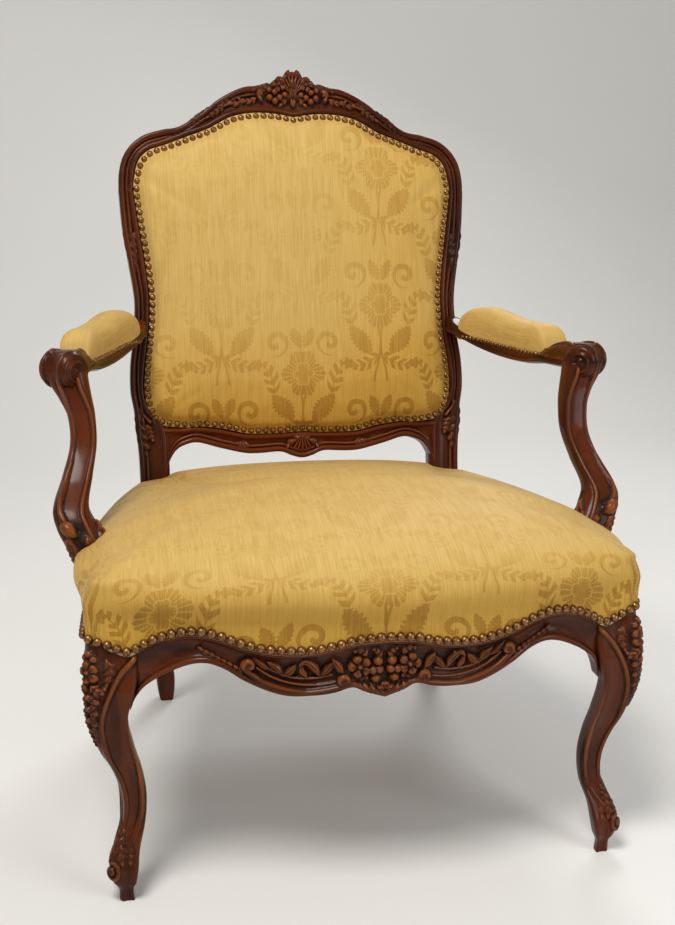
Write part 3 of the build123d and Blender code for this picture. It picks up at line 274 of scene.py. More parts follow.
walnut_up = wood_material("walnut_up", (1.0, 1.0, 0.11))
walnut_across = wood_material("walnut_across", (0.11, 1.0, 1.0))
walnut_deep = wood_material("walnut_deep", (1.0, 0.11, 1.0))
block_wood = wood_material("block_wood", (0.12, 1.0, 1.0), (0.20, 0.11, 0.05), (0.36, 0.22, 0.11), 0.0, 0.6)
peg_wood = wood_material("peg_wood", (1.0, 0.12, 1.0), (0.10, 0.045, 0.02), (0.20, 0.10, 0.05), 0.0, 0.5)
print("wood materials", [m.name for m in bpy.data.materials])

# %% [markdown]
# ## Damask
# The cover is a woven damask: one gold colour whose pattern shows because its threads lie the other way and
# catch the light differently. Its repeat is the builder's own: a flower with leaves and a scroll on each
# side, mirrored about an upright axis, with every second column dropped by half a repeat. The motif is a
# formula on the cloth's own coordinates, in metres, so the weave runs over the stuffing as it would in cloth.
# `Value` lets a node's output be used in a sum, so that the formula can be read as one.


# %% Formula values
class Value:
    """A number carried by a socket: sums written with it become Math nodes in its tree."""

    def __init__(self, tree, socket):
        self.tree, self.socket = tree, socket

    def do(self, operation, *others):
        values = [o.socket if isinstance(o, Value) else float(o) for o in others]
        return Value(self.tree, math_node(self.tree, operation, self.socket, *values))

    def __add__(self, other):
        return self.do("ADD", other)

    def __sub__(self, other):
        return self.do("SUBTRACT", other)

    def __mul__(self, other):
        return self.do("MULTIPLY", other)

    def __truediv__(self, other):
        return self.do("DIVIDE", other)

    def __neg__(self):
        return self * -1.0

    def size(self):
        return self.do("ABSOLUTE")

    def sin(self):
        return self.do("SINE")

    def cos(self):
        return self.do("COSINE")

    def larger(self, other):
        return self.do("MAXIMUM", other)

    def smaller(self, other):
        return self.do("MINIMUM", other)

    def soft(self, low, high):
        return Value(self.tree, remap(self.tree, self.socket, low, high))


def far(x, y):
    """Distance from zero of a point given by two values."""
    return (x * x + y * y).do("SQRT")


def angle(y, x):
    return Value(y.tree, math_node(y.tree, "ARCTAN2", y.socket, x.socket))


def turned(x, y, degrees):
    c, s = float(np.cos(np.radians(degrees))), float(np.sin(np.radians(degrees)))
    return x * c + y * s, y * c - x * s


# %% [markdown]
# ### The motif
# Each shape is a number that is above zero inside the shape: a petal edge is a circle whose radius swells
# with the angle, a leaf is a lens with teeth, and a scroll is a spiral band. The largest of them all is the
# pattern. The ground between them stays plain satin.

# %% Damask group
damask_group, cloth_in, cloth_out = new_group(
    "damask", [("Where", VECTOR, None), ("Column", FLOAT, 0.122), ("Repeat", FLOAT, 0.205)],
    [("Pattern", FLOAT), ("Vein", FLOAT), ("Rib", FLOAT), ("Slub", FLOAT)])
where_in = cloth_in.outputs["Where"]
waver = node(damask_group, "ShaderNodeTexNoise", {"Vector": where_in, "Scale": 14.0, "Detail": 2.0})
bent = waver.outputs["Color"]
for operation, links in (("SUBTRACT", {1: (0.5, 0.5, 0.5)}), ("SCALE", {3: 0.008}), ("ADD", {1: where_in})):
    bent = node(damask_group, "ShaderNodeVectorMath", {0: bent, **links}, operation=operation).outputs[0]
cut = node(damask_group, "ShaderNodeSeparateXYZ", {0: bent})
cloth_x, cloth_y = Value(damask_group, cut.outputs[0]), Value(damask_group, cut.outputs[1])
column_width = Value(damask_group, cloth_in.outputs["Column"])
repeat_height = Value(damask_group, cloth_in.outputs["Repeat"])
column = (cloth_x / column_width).do("ROUND")
local_x = (cloth_x - column * column_width).size() * 0.84
dropped = cloth_y + column.do("FLOORED_MODULO", 2.0) * repeat_height * 0.5
local_y = (dropped - (dropped / repeat_height).do("ROUND") * repeat_height) * 0.84

flower_y = local_y - 0.022
flower_turn = angle(flower_y, local_x)
flower_far = far(local_x, flower_y)
petal = (flower_turn * 2.5).cos().size()
petals = petal * 0.009 + 0.0195 + (flower_turn * 25.0).cos() * 0.0007 - flower_far
petals = petals.smaller((flower_far - petal * 0.0055 - 0.0085).size() - 0.0008)
petals = petals.smaller((flower_turn * 25.0).cos() * 0.002 + 0.0017)
petals = petals.larger(petal * 0.004 + 0.0052 - flower_far)


def leaf_shape(x, y, at, degrees, length, width, teeth):
    """A lens along a turned axis, its edge drawn in and out by small teeth."""
    a, b = turned(x - at[0], y - at[1], degrees)
    share = a / length
    edge = (-(share * share) + 1.0).larger(0.0) * width
    edge = edge * (((share * teeth).sin()).size() * 0.35 + 0.72)
    return edge - b.size()


def spray_shape(x, y, at, degrees, bend, length, width, leaflets):
    """A feathered spray: small leaflets slant off both sides of a bent stem and shorten to its tip."""
    a, b = turned(x - at[0], y - at[1], degrees)
    b = b - a * a * bend
    share = a / length
    edge = (-(share * share) + 1.0).larger(0.0) * width
    fronds = ((a - b.size() * 0.75) * (2 * np.pi * leaflets / length)).sin() * 0.0022 + 0.0006
    return (edge - b.size()).smaller(fronds).larger((-(b.size()) + 0.0008).smaller(edge - 0.001))


leaves = leaf_shape(local_x, local_y, (0.026, -0.022), 52, 0.024, 0.0115, 14.0)
leaves = leaves.larger(spray_shape(local_x, local_y, (0.043, 0.020), 62, -9.0, 0.034, 0.0105, 3.0))
leaves = leaves.larger(spray_shape(local_x, local_y, (0.020, -0.052), -20, 12.0, 0.030, 0.0090, 3.0))
leaves = leaves.larger(leaf_shape(local_x, local_y, (0.008, 0.066), 66, 0.015, 0.0070, 10.0))
stem = -((local_x - (local_y * 60.0).sin() * 0.004 - 0.004).size()) + 0.0016
stem = stem.smaller(-(local_y + 0.040).size() + 0.036)
scroll_x, scroll_y = local_x - 0.034, local_y - 0.060
scroll_turn = angle(scroll_y, scroll_x)
scroll_far = far(scroll_x, scroll_y)
winding = (scroll_far * 420.0 - scroll_turn).do("FLOORED_MODULO", 2 * np.pi)
scroll = (-((winding - np.pi).size()) + 1.5).smaller((-scroll_far + 0.0165) * 400.0) * 0.0025
bud_x, bud_y = local_x - 0.044, local_y + 0.052
buds = (angle(bud_y, bud_x) * 5.0).cos() * 0.0016 + 0.0068 - far(bud_x, bud_y)
shape = petals.larger(leaves).larger(stem).larger(scroll).larger(buds)
pattern = shape.soft(-0.0006, 0.0009)
veins = ((flower_turn * 21.0).sin().size() + (leaves * 900.0).sin().size()) * 0.5
strand = node(damask_group, "ShaderNodeVectorMath", {0: where_in, 1: (1.0, 0.030, 1.0)},
              operation="MULTIPLY").outputs[0]
slub, broad = noise(damask_group, strand, 560.0, 3.0, Roughness=0.6), noise(damask_group, strand, 120.0, 2.0)
raw = node(damask_group, "ShaderNodeSeparateXYZ", {0: where_in}).outputs[0]
rib = (Value(damask_group, raw) * (2 * np.pi / 0.00125)).sin() * 0.5 + 0.5
slubs = Value(damask_group, slub) * 0.78 + Value(damask_group, broad) * 0.22
for value, label in ((pattern, "Pattern"), (veins, "Vein"), (rib, "Rib"), (slubs, "Slub")):
    damask_group.links.new(value.socket, cloth_out.inputs[label])


def damask_material(name, ground, deep, figure):
    """Gold damask on the piece's own cloth map. A point attribute mixes its ground from pale gold, painted as
    sheen, to deep gold, painted as shade, and the pattern stands out more towards the deep end.
    """
    material, tree, shader = new_material(name)
    where = node(tree, "ShaderNodeUVMap", uv_map="cloth").outputs[0]
    weave = use_group(tree, damask_group, {"Where": where})
    shade_and_figure = node(tree, "ShaderNodeAttribute", attribute_name="shade_and_figure").outputs["Fac"]
    strand = remap(tree, weave["Slub"], 0.36, 0.64)
    # Painted light: the ground is pale where sheen is painted on, and deep gold where shade is painted.
    sheen_and_shade_ground = mix_colours(tree, shade_and_figure, (*ground, 1), (*deep, 1))
    colour = mix_colours(tree, strand, (0.93, 0.885, 0.78, 1), (1.05, 1.07, 1.16, 1))
    colour = mix_colours(tree, 1.0, sheen_and_shade_ground, colour, "MULTIPLY")
    figure_colour = mix_colours(tree, strand, shaded(figure, 0.84), shaded(figure, 1.16))
    share = math_node(tree, "MULTIPLY", weave["Pattern"], shade_and_figure)
    share = math_node(tree, "MULTIPLY", share, math_node(tree, "MULTIPLY_ADD", weave["Vein"], 0.20, 0.82))
    colour = mix_colours(tree, share, colour, figure_colour)
    rough = math_node(tree, "MULTIPLY_ADD", weave["Pattern"], 0.10, 0.56)
    tree.links.new(rough, shader.inputs["Roughness"])
    set_inputs(shader, Sheen_Weight=0.16, Sheen_Roughness=0.42, Sheen_Tint=(1.0, 0.93, 0.72, 1),
               Specular_IOR_Level=0.25)
    slubs = math_node(tree, "MULTIPLY", weave["Slub"], 1.2)
    height = math_node(tree, "MULTIPLY_ADD", weave["Rib"], 0.5, slubs)
    height = math_node(tree, "MULTIPLY_ADD", share, 1.1, height)
    finish_shader(tree, shader, colour, height, 0.45, 0.00045)
    return material


damask = damask_material("damask", (0.60, 0.405, 0.125), (0.55, 0.315, 0.045), (0.37, 0.185, 0.018))
print("damask nodes", len(damask_group.nodes))

# %% [markdown]
# ## Bronze nails, webbing, canvas, hair and steel
# The nail heads are pressed brass, browned with age: metal with soft dark mottling and brighter crowns.
# Jute webbing, coarse canvas and hair lie under the cover, and the first two are seen from below. Every CAD
# node is dressed too, for the few parts that stay as they are: blocks, screws, pegs and the rear rail.

# %% Small finishes
def metal_material(name, colour, dark, rough):
    material, tree, shader = new_material(name)
    spots = noise(tree, object_place(tree), 420.0, 4.0)
    tarnish = remap(tree, spots, 0.40, 0.66)
    tree.links.new(math_node(tree, "MULTIPLY_ADD", tarnish, 0.24, rough), shader.inputs["Roughness"])
    set_inputs(shader, Metallic=1.0)
    browned = mix_colours(tree, tarnish, (*colour, 1), (*dark, 1))
    finish_shader(tree, shader, browned, spots, 0.18, 0.0003)
    return material


def woven_material(name, pale, dark, pitch):
    """A plain weave: two waves at right angles, one over the other in turn, with slubs along each."""
    material, tree, shader = new_material(name)
    where = object_place(tree)
    parts = node(tree, "ShaderNodeSeparateXYZ", {0: where})
    x, y = Value(tree, parts.outputs[0]), Value(tree, parts.outputs[1])
    over = (x * (np.pi / pitch)).sin() * (y * (np.pi / pitch)).sin()
    weave = over * 0.5 + 0.5
    share = (weave * 0.6 + Value(tree, noise(tree, where, 240.0, 3.0)) * 0.5).soft(0.25, 0.85)
    set_inputs(shader, Roughness=0.9)
    colour = mix_colours(tree, share.socket, (*dark, 1), (*pale, 1))
    finish_shader(tree, shader, colour, weave.socket, 0.5, pitch * 0.3)
    return material


nail_bronze = metal_material("nail_bronze", (0.33, 0.175, 0.072), (0.130, 0.062, 0.026), 0.38)
screw_steel = metal_material("screw_steel", (0.48, 0.47, 0.46), (0.26, 0.24, 0.22), 0.40)
jute = woven_material("jute", (0.50, 0.38, 0.22), (0.24, 0.16, 0.085), 0.0022)
hessian = woven_material("hessian", (0.56, 0.46, 0.30), (0.30, 0.23, 0.14), 0.0013)
hair = woven_material("hair", (0.20, 0.15, 0.11), (0.07, 0.05, 0.035), 0.0030)

cad_finishes = {
    "walnut": walnut_up, "block_wood": block_wood, "peg_wood": peg_wood, "screw_steel": screw_steel,
    "webbing": jute, "canvas": hessian, "stuffing": hair, "damask": damask, "nail_brass": nail_bronze}
for part in frame["record"]["subparts"]:
    thing = nodes[part["node"]].data
    thing.materials.clear()
    thing.materials.append(cad_finishes[part["material_slot"]])

# %% [markdown]
# ## Meshes from grids
# Nearly all new pieces are closed grids: rows of points run along the piece and each row runs round it. Its
# two ends are closed by a fan of triangles. The sign of the enclosed volume tells whether the faces point
# outwards, and they are turned over when they don't. A grid may carry a cloth map in metres, which a closed
# ring needs on the face corners, and values such as `relief` on its points.

# %% Grid helpers
def object_from(name, points, quads, triangles, material, cloth=None, values=None):
    """One mesh object from points in chair millimetres, four-sided faces and triangles."""
    place = to_metres(points)
    a, b, c = (place[quads[:, k]] for k in (0, 1, 2))
    d = place[quads[:, 3]]
    volume = np.sum(a * np.cross(b, c)) + np.sum(a * np.cross(c, d))
    if len(triangles):
        a, b, c = (place[triangles[:, k]] for k in (0, 1, 2))
        volume += np.sum(a * np.cross(b, c))
    if volume < 0:
        quads, triangles = quads[:, ::-1], triangles[:, ::-1]
    corners = np.concatenate([quads.ravel(), triangles.ravel()]).astype(np.int32)
    starts = np.concatenate([np.arange(len(quads)) * 4, len(quads) * 4 + np.arange(len(triangles)) * 3])
    mesh = bpy.data.meshes.new(name)
    mesh.vertices.add(len(place))
    mesh.vertices.foreach_set("co", place.astype(np.float32).ravel())
    mesh.loops.add(len(corners))
    mesh.loops.foreach_set("vertex_index", corners)
    mesh.polygons.add(len(starts))
    mesh.polygons.foreach_set("loop_start", starts.astype(np.int32))
    mesh.update(calc_edges=True)
    mesh.validate()
    mesh.shade_smooth()
    if cloth is not None:
        layer = mesh.uv_layers.new(name="cloth")
        layer.data.foreach_set("uv", np.asarray(cloth, np.float32)[corners].ravel())
    for key, value in (values or {}).items():
        layer = mesh.attributes.new(key, "FLOAT", "POINT")
        layer.data.foreach_set("value", np.asarray(value, np.float32).ravel())
    mesh.materials.append(material)
    thing = bpy.data.objects.new(name, mesh)
    bpy.context.scene.collection.objects.link(thing)
    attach(thing, "root")
    return thing


def tube_faces(rows, around):
    """Faces of a grid that is closed round its rows, with a fan from an added point at each end."""
    k = np.arange(rows * around).reshape(rows, around)
    after = np.roll(k, -1, axis=1)
    quads = np.stack([k[:-1], after[:-1], after[1:], k[1:]], -1).reshape(-1, 4)
    first, last = rows * around, rows * around + 1
    fan = np.stack([np.full(around, first), after[0], k[0]], -1)
    other = np.stack([np.full(around, last), k[-1], after[-1]], -1)
    return quads, np.concatenate([fan, other])


def closed_piece(name, rings, material, values=None):
    """A solid from rings of points: each end is closed on its own middle."""
    rows, around = rings.shape[:2]
    quads, fans = tube_faces(rows, around)
    ends = np.stack([rings[0].mean(0), rings[-1].mean(0)])
    points = np.concatenate([rings.reshape(-1, 3), ends])
    padded = {}
    for key, value in (values or {}).items():
        value = np.asarray(value, float)
        padded[key] = np.concatenate([value.ravel(), [value[0].mean(), value[-1].mean()]])
    return object_from(name, points, quads, fans, material, values=padded)


SIDES = (("right", 1), ("left", -1))


def stands_for(thing, slot, *node_names):
    """Hides the CAD nodes that a piece replaces, if any, and gives back the piece. The slot is not used."""
    if node_names:
        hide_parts(*node_names)
    return thing


def wooden(name, rings, material, relief, *node_names):
    """A carved piece of walnut."""
    return stands_for(closed_piece(name, rings, material, {"relief": relief}), "walnut", *node_names)


def wooden_pair(name, rings, material, relief, *node_names):
    """The right piece and its mirror image on the left."""
    for side, hand in SIDES:
        wooden(name + side, rings * (hand, 1, 1), material, relief, *[part + side for part in node_names])


def key_ring(x, y, z):
    return np.column_stack(np.broadcast_arrays(x, y, z))


def loft(keys, count, spots=None):
    """Rings between key rings on a smooth curve through them, point by point."""
    keys = np.asarray(keys, float)
    spots = np.arange(len(keys)) if spots is None else np.asarray(spots, float)
    table = np.column_stack([spots, keys.reshape(len(keys), -1)])
    places = np.linspace(spots.min(), spots.max(), count)
    return smooth(table, places).reshape(count, *keys.shape[1:])


def normals_of(rings):
    """Outward unit normals of closed rings, from the differences between neighbours."""
    along = np.gradient(rings, axis=0)
    around = np.roll(rings, -1, axis=1) - np.roll(rings, 1, axis=1)
    normal = np.cross(along, around)
    normal /= np.maximum(np.linalg.norm(normal, axis=-1, keepdims=True), 1e-9)
    outward = np.sum(normal * (rings - rings.mean(1, keepdims=True)))
    return normal * (1 if outward > 0 else -1)


def way_round(rings, start=0):
    """Distance of each point round its ring from the one numbered `start`, minus on the near side of it."""
    steps = np.linalg.norm(np.roll(rings, -1, axis=1) - rings, axis=2)
    way = np.cumsum(steps, axis=1) - steps
    way = way - way[:, start:start + 1]
    total = steps.sum(1, keepdims=True)
    return np.where(way > total / 2, way - total, way)


def blurred(values, steps, closed=False):
    """A grid of values averaged with its neighbours again and again."""
    for _ in range(steps):
        wide = np.pad(values, ((1, 1), (0, 0)), mode="edge")
        values = (wide[:-2] + 2 * wide[1:-1] + wide[2:]) / 4
        wide = np.pad(values, ((0, 0), (1, 1)), mode="wrap" if closed else "edge")
        values = (wide[:, :-2] + 2 * wide[:, 1:-1] + wide[:, 2:]) / 4
    return values


def relief_of(height, steps, scale, closed=False):
    """How far a carved height lies above (plus) or below (minus) its surroundings, from -1 to 1."""
    return np.clip((height - blurred(height, steps, closed)) / scale, -1, 1)


print("grid helpers ready")

# %% [markdown]
# ## A carver's vocabulary
# Rococo carving is built from few forms: beads that run along an edge, leaves with lobes and veins, flowers,
# berries, shells and scrolls. Each is a height in millimetres over the flat wood, given by the distance from
# a drawn line and the way along it. The highest form wins where they meet, as when one leaf lies over
# another. `Carving` collects them for one side of a piece and the other side is its mirror image.

# %% Forms
def curve(points, steps=7):
    """A smooth line through a few drawn points."""
    points = np.asarray(points, float)
    table = np.column_stack([np.arange(len(points)), points])
    return smooth(table, np.linspace(0, len(points) - 1, (len(points) - 1) * steps + 1))


def near_line(x, y, line):
    """Distance to a line, the way along it from 0 to 1, and which side of it a place is on."""
    starts, ends = line[:-1], line[1:]
    lengths = np.hypot(*(ends - starts).T)
    past = np.concatenate([[0], np.cumsum(lengths)])
    best, along, side = np.full(x.shape, np.inf), np.zeros(x.shape), np.ones(x.shape)
    for (a, b), (c, d), size, before in zip(starts, ends, lengths, past):
        share = np.clip(((x - a) * (c - a) + (y - b) * (d - b)) / size**2, 0, 1)
        far_x, far_y = x - a - share * (c - a), y - b - share * (d - b)
        distance = np.hypot(far_x, far_y)
        closer = distance < best
        best = np.where(closer, distance, best)
        along = np.where(closer, (before + share * size) / past[-1], along)
        side = np.where(closer, np.sign((c - a) * far_y - (d - b) * far_x), side)
    return best, along, side


def bead_form(x, y, line, radius, height, taper=0.0):
    """A half-round string: height times the root of one minus the squared distance over the radius."""
    distance, along, _ = near_line(x, y, line)
    width = radius * (1 - taper * along)
    return height * (1 - 0.5 * taper * along) * np.sqrt(np.clip(1 - (distance / width)**2, 0, 1))


def leaf_form(x, y, line, width, height, lobes=5, curl=0.0):
    """A leaf about its midrib: lobes notch its edge, veins slant to each lobe, and its tip may rise."""
    distance, along, _ = near_line(x, y, line)
    slant = along - 0.16 * distance / width
    outline = np.sin(np.pi * np.clip(along, 0, 1)**0.75)**0.7
    lobe = np.abs(np.sin(np.pi * lobes * slant))
    edge = np.maximum(width * outline * (0.66 + 0.34 * lobe), 1e-3)
    share = np.clip(1 - distance / edge, 0, 1)
    body = height * share**0.55 * (0.8 + 0.2 * lobe) * (1 + curl * along)
    body -= 0.30 * height * np.exp(-(distance / (0.09 * width))**2) * (share > 0)
    body -= 0.22 * height * (1 - lobe)**3 * (distance > 0.12 * width) * (share > 0)
    return np.maximum(body, 0) * (share > 0)


def flower_form(x, y, line, radius, height):
    """A flower about one point: five cupped petals with a groove between, round a domed centre."""
    dx, dy = x - line[0, 0], y - line[0, 1]
    distance, turned_by, petals = np.hypot(dx, dy), np.arctan2(dy, dx), 5
    petal = np.abs(np.cos(turned_by * petals / 2))
    edge = radius * (0.70 + 0.30 * petal**0.6)
    share = distance / edge
    cup = height * (0.42 + 0.58 * np.clip(share, 0, 1)**0.8) * np.sqrt(np.clip(1 - share**7, 0, 1))
    cup *= 1 - 0.6 * (1 - petal)**3 - 0.12 * np.cos(turned_by * petals * 3)**2
    centre = 0.92 * height * np.sqrt(np.clip(1 - (distance / (0.26 * radius))**2, 0, 1))
    return np.maximum(cup * (share < 1), centre)


def berry_form(x, y, line, radius, height):
    """Half-round balls, one at each drawn point."""
    result = np.zeros(x.shape)
    for px, py in line:
        share = np.hypot(x - px, y - py) / radius
        result = np.maximum(result, height * np.sqrt(np.clip(1 - share**2, 0, 1)))
    return result


def shell_form(x, y, line, radius, height, flutes, start, spread):
    """A fan of flutes about a point: ribs between two angles, scalloped at the rim and low at the hinge."""
    dx, dy = x - line[0, 0], y - line[0, 1]
    distance = np.hypot(dx, dy)
    share = np.mod(np.arctan2(dy, dx) - start + np.pi / 6, 2 * np.pi) - np.pi / 6
    share = share / spread
    rib = np.abs(np.sin(np.pi * flutes * share))
    edge = radius * (0.84 + 0.16 * rib)
    inside = (share > 0) & (share < 1) & (distance < edge)
    rise = np.sqrt(np.clip(1 - (distance / edge)**3, 0, 1)) * (0.35 + 0.65 * rib**0.7)
    return height * rise * inside * np.clip(distance / (0.18 * radius), 0.3, 1)


def scroll_line(x, y, radius, turns, start):
    """Points of a spiral that winds in to its eye."""
    share = np.linspace(0, 1, int(26 * turns))
    turned_by = start + 2 * np.pi * turns * share
    reach = radius * (1 - share)**0.85
    return np.column_stack([x + reach * np.cos(turned_by), y + reach * np.sin(turned_by)])


class Carving:
    """Forms gathered on a flat ground; `over` gives their greatest height at any places."""

    def __init__(self):
        self.forms = []

    def add(self, form, points, reach, *values, **more):
        line = np.atleast_2d(np.asarray(points, float))
        self.forms.append((form, line, reach, values, more))

    def line(self, form, points, reach, *values, **more):
        self.add(form, curve(points), reach, *values, **more)

    def leaves(self, *rows):
        """Leaves given by width, height, lobes, curl and the points of their midribs."""
        for width, height, lobes, curl, *midrib in rows:
            self.line(leaf_form, midrib, width, height, lobes=lobes, curl=curl)

    def over(self, x, y, mirror=True):
        across = np.abs(x) if mirror else x
        height = np.zeros(x.shape)
        for form, line, reach, values, more in self.forms:
            low, high = line.min(0) - reach, line.max(0) + reach
            near = (across > low[0]) & (across < high[0]) & (y > low[1]) & (y < high[1])
            if near.any():
                found = form(across[near], y[near], line, reach, *values, **more)
                height[near] = np.maximum(height[near], found)
        return height


print("forms: bead, leaf, flower, berries, shell, scroll")

# %% [markdown]
# ## Carving of the back frame
# All of the back's wood lies on one leaning plane, so one set of forms, drawn in millimetres across and up
# that plane, serves the crest, the stiles and the lower rail. At the top stands a fan of leaf with a flower
# and berries on each side of a stem. Sprigs run out in the hollow of the moulding, leaf tips break its
# outline at the shoulders, and an acanthus leaf covers each joint between curves.

# %% Back carving
back_forms = Carving()
add, line, leaves = back_forms.add, back_forms.line, back_forms.leaves
add(shell_form, (0, 645), 38, 8.5, flutes=9, start=np.radians(38), spread=np.radians(104))
leaves(
    (6, 9.0, 3, 0, (2, 672), (3, 655), (1, 628)),
    (9, 9.5, 4, 0.3, (3, 676), (14, 682), (27, 678), (33, 668)),
    (7, 6.5, 3, 0, (5, 650), (14, 637), (22, 629)))
add(flower_form, (21, 662), 11.5, 10.0)
add(berry_form, [(12, 647), (20, 643), (28, 651), (35, 643), (27, 638), (36, 654)], 5.4, 9.0)
line(leaf_form, [(36, 662), (45, 655), (51, 645), (46, 636)], 8, 8.0, lobes=3, curl=0.4)
line(bead_form, [(44, 652), (52, 656), (60, 653)], 3.6, 6.5)
leaves(
    (6, 6.0, 4, 0, (54, 643), (64, 637), (76, 637), (84, 642)),
    (6, 5.6, 4, 0, (72, 641), (84, 633), (97, 635), (104, 641)))
line(bead_form, [(60, 640), (80, 635), (97, 632), (112, 624)], 1.8, 4.4)
leaves(
    (7, 6.4, 4, 0, (104, 633), (112, 624), (122, 617), (133, 610)),
    (5, 5.2, 3, 0, (96, 640), (107, 632), (117, 627)),
    (9, 6.6, 5, 0.2, (126, 630), (136, 622), (147, 609), (160, 597)),
    (6, 3.8, 4, 0, (152, 601), (166, 592), (181, 586)),
    (9.5, 6.0, 5, 0, (252, 452), (256, 438), (251, 418), (246, 398), (246, 380)),
    (6, 4.6, 3, 0, (243, 446), (245, 430), (241, 412)),
    (12, 6.4, 5, 0, (247, 180), (250, 165), (247, 146), (242, 128), (240, 108)),
    (8, 4.6, 4, 0, (238, 160), (234, 146), (228, 132)))
line(bead_form, [(252, 190), (243, 176), (232, 163)], 2.6, 4.6)
add(shell_form, (0, 141), 31, 7.0, flutes=7, start=np.radians(220), spread=np.radians(100))
leaves(
    (7, 7.0, 3, 0.3, (1, 138), (10, 131), (21, 124), (25, 114)),
    (8, 4.6, 4, 0, (82, 124), (92, 123), (104, 128)), (6, 4.6, 4, 0, (92, 116), (102, 119), (114, 126)))
print("forms on the back", len(back_forms.forms))

# %% [markdown]
# ## Back frame: a moulding drawn from edge to edge
# Every stretch of the back frame is the same moulding: a bead along each edge and a hollow between them. Its
# section is a closed line of points, given by two edges on the leaning plane: the wood's inner edge, against
# the cloth, and its outer edge. `moulding` is the height of the front across the width, and carved forms are
# added to it by their place on the plane. Behind, a ledge carries the webbing.

# %% Moulded bars
BEAD, FRONT_STEPS, SIDE_STEPS, REAR_STEPS, LEDGE_STEPS = 7.0, 54, 6, 9, 5
REBATE_WIDE, REBATE_DEEP, CARVING_GROUND = 18.0, 8.0, -4.6


def string(distance, radius, rise):
    return rise * np.sqrt(np.clip(1 - (distance / radius)**2, 0, 1))


def string_on(distance, radius, rise, base):
    """A string that starts from a base height, and nothing, far below, where it doesn't reach."""
    return np.where(np.abs(distance) < radius, base + string(distance, radius, rise), -30.0)


def moulding(a, width):
    """A bead along each edge, a hollow, and a fillet beside the outer bead; zero is the inner bead's top."""
    flat = np.clip((a - BEAD) / np.maximum(width - 2 * BEAD, 1), 0, 1)
    hollow = -2.2 - 3.6 * np.sin(np.pi * flat)**0.8
    inner = string_on(a - BEAD / 2, BEAD / 2 + 0.1, 3.2, -3.2)
    outer = string_on(width - a - 0.55 * BEAD, 0.62 * BEAD, 4.4, -3.0)
    fillet = string_on(width - a - 1.62 * BEAD, 0.34 * BEAD, 2.6, -4.0)
    return np.maximum(np.maximum(hollow, fillet), np.maximum(inner, outer))


def bar_rings(outer, wood, inner, rebate):
    """Rings round the bar: front from the wood's edge out, outer side, back, then the ledge behind the cloth.
    All inputs are arrays along the bar; the result is places across and up, and how far forward."""
    reach = outer - wood
    width = np.linalg.norm(reach, axis=1)[:, None]
    way = reach / width
    t = (1 - np.cos(np.pi * np.linspace(0, 1, FRONT_STEPS))) / 2
    t = 0.35 * t + 0.65 * np.linspace(0, 1, FRONT_STEPS)
    front_a, ones = width * t, np.ones_like(width)
    front_w = moulding(front_a, width)
    side_w = -np.linspace(0.16, 1, SIDE_STEPS) * FRAME_DEEP * ones
    side_a = width + 0.8 * np.sin(np.pi * np.linspace(0, 1, SIDE_STEPS)) * ones
    rear_a = width + (-inner[:, None] - width) * np.linspace(0.04, 0.98, REAR_STEPS)
    rear_w = -FRAME_DEEP - 0.6 * np.sin(np.pi * np.linspace(0, 1, REAR_STEPS)) * ones
    ledge_a = -inner[:, None] * np.array([1, 1, 1, 0.5, 0.02])
    ledge_w = np.stack([-FRAME_DEEP * ones[:, 0], -(FRAME_DEEP + rebate) / 2, -rebate, -rebate, -rebate], 1)
    a = np.concatenate([front_a, side_a, rear_a, ledge_a], 1)
    w = np.concatenate([front_w, side_w, rear_w, ledge_w], 1)
    return wood[:, None, :] + way[:, None, :] * a[..., None], w


def carve_flat(flat, forward, way):
    """Raises the forms on the front points of rings on the back's plane, and lets a leaf that reaches the
    outer edge stand out a little beyond it. Gives places in space and their relief."""
    face = np.arange(flat.shape[1]) < FRONT_STEPS
    height = back_forms.over(flat[..., 0], flat[..., 1])
    carved = np.where(face & (height > 0), np.maximum(forward, CARVING_GROUND + height), forward)
    edge = height[:, FRONT_STEPS - 1]
    push = blurred(np.where(edge > 2.5, edge, 0)[:, None], 2) * 0.35
    grow = np.zeros(flat.shape[1])
    grow[FRONT_STEPS - 4:FRONT_STEPS + 2] = (0.3, 0.6, 0.9, 1, 0.9, 0.4)
    flat = flat + way[:, None, :] * (push * grow)[..., None]
    relief = relief_of(carved[:, :FRONT_STEPS], 12, 1.6)
    relief = np.pad(relief, ((0, 0), (0, flat.shape[1] - FRONT_STEPS)))
    return back_point(flat[..., 0], flat[..., 1], carved), relief


def carved_bar(name, outer, wood, node_name):
    """A bar of the back frame, with the forms raised on its front, as one closed mesh."""
    flat, forward = bar_rings(outer, wood, np.full(len(outer), REBATE_WIDE), np.full(len(outer), REBATE_DEEP))
    reach = outer - wood
    rings, relief = carve_flat(flat, forward, reach / np.linalg.norm(reach, axis=1)[:, None])
    return wooden(name, rings, walnut_across, relief, node_name)


crest_table = np.array([
    (1.0, 0.742, 0.922, 0.742), (0.994, 0.778, 0.913, 0.775), (0.971, 0.811, 0.896, 0.80),
    (0.922, 0.838, 0.869, 0.816), (0.85, 0.858, 0.82, 0.83), (0.751, 0.870, 0.732, 0.841),
    (0.645, 0.879, 0.638, 0.855), (0.505, 0.913, 0.505, 0.874), (0.448, 0.931, 0.44, 0.887),
    (0.368, 0.950, 0.364, 0.902), (0.273, 0.965, 0.266, 0.911), (0.152, 0.970, 0.159, 0.913),
    (0.068, 0.987, 0.076, 0.91), (0, 1.0, 0, 0.905)])
across_up = np.array([BACK_HALF, BACK_RISE, BACK_HALF, BACK_RISE])
left_side = crest_table[:-1][::-1] * (-1, 1, -1, 1)
CREST_ROWS, LOWER_ROWS = 620, 460
crest_rows = loft(np.concatenate([crest_table, left_side]) * across_up, CREST_ROWS)
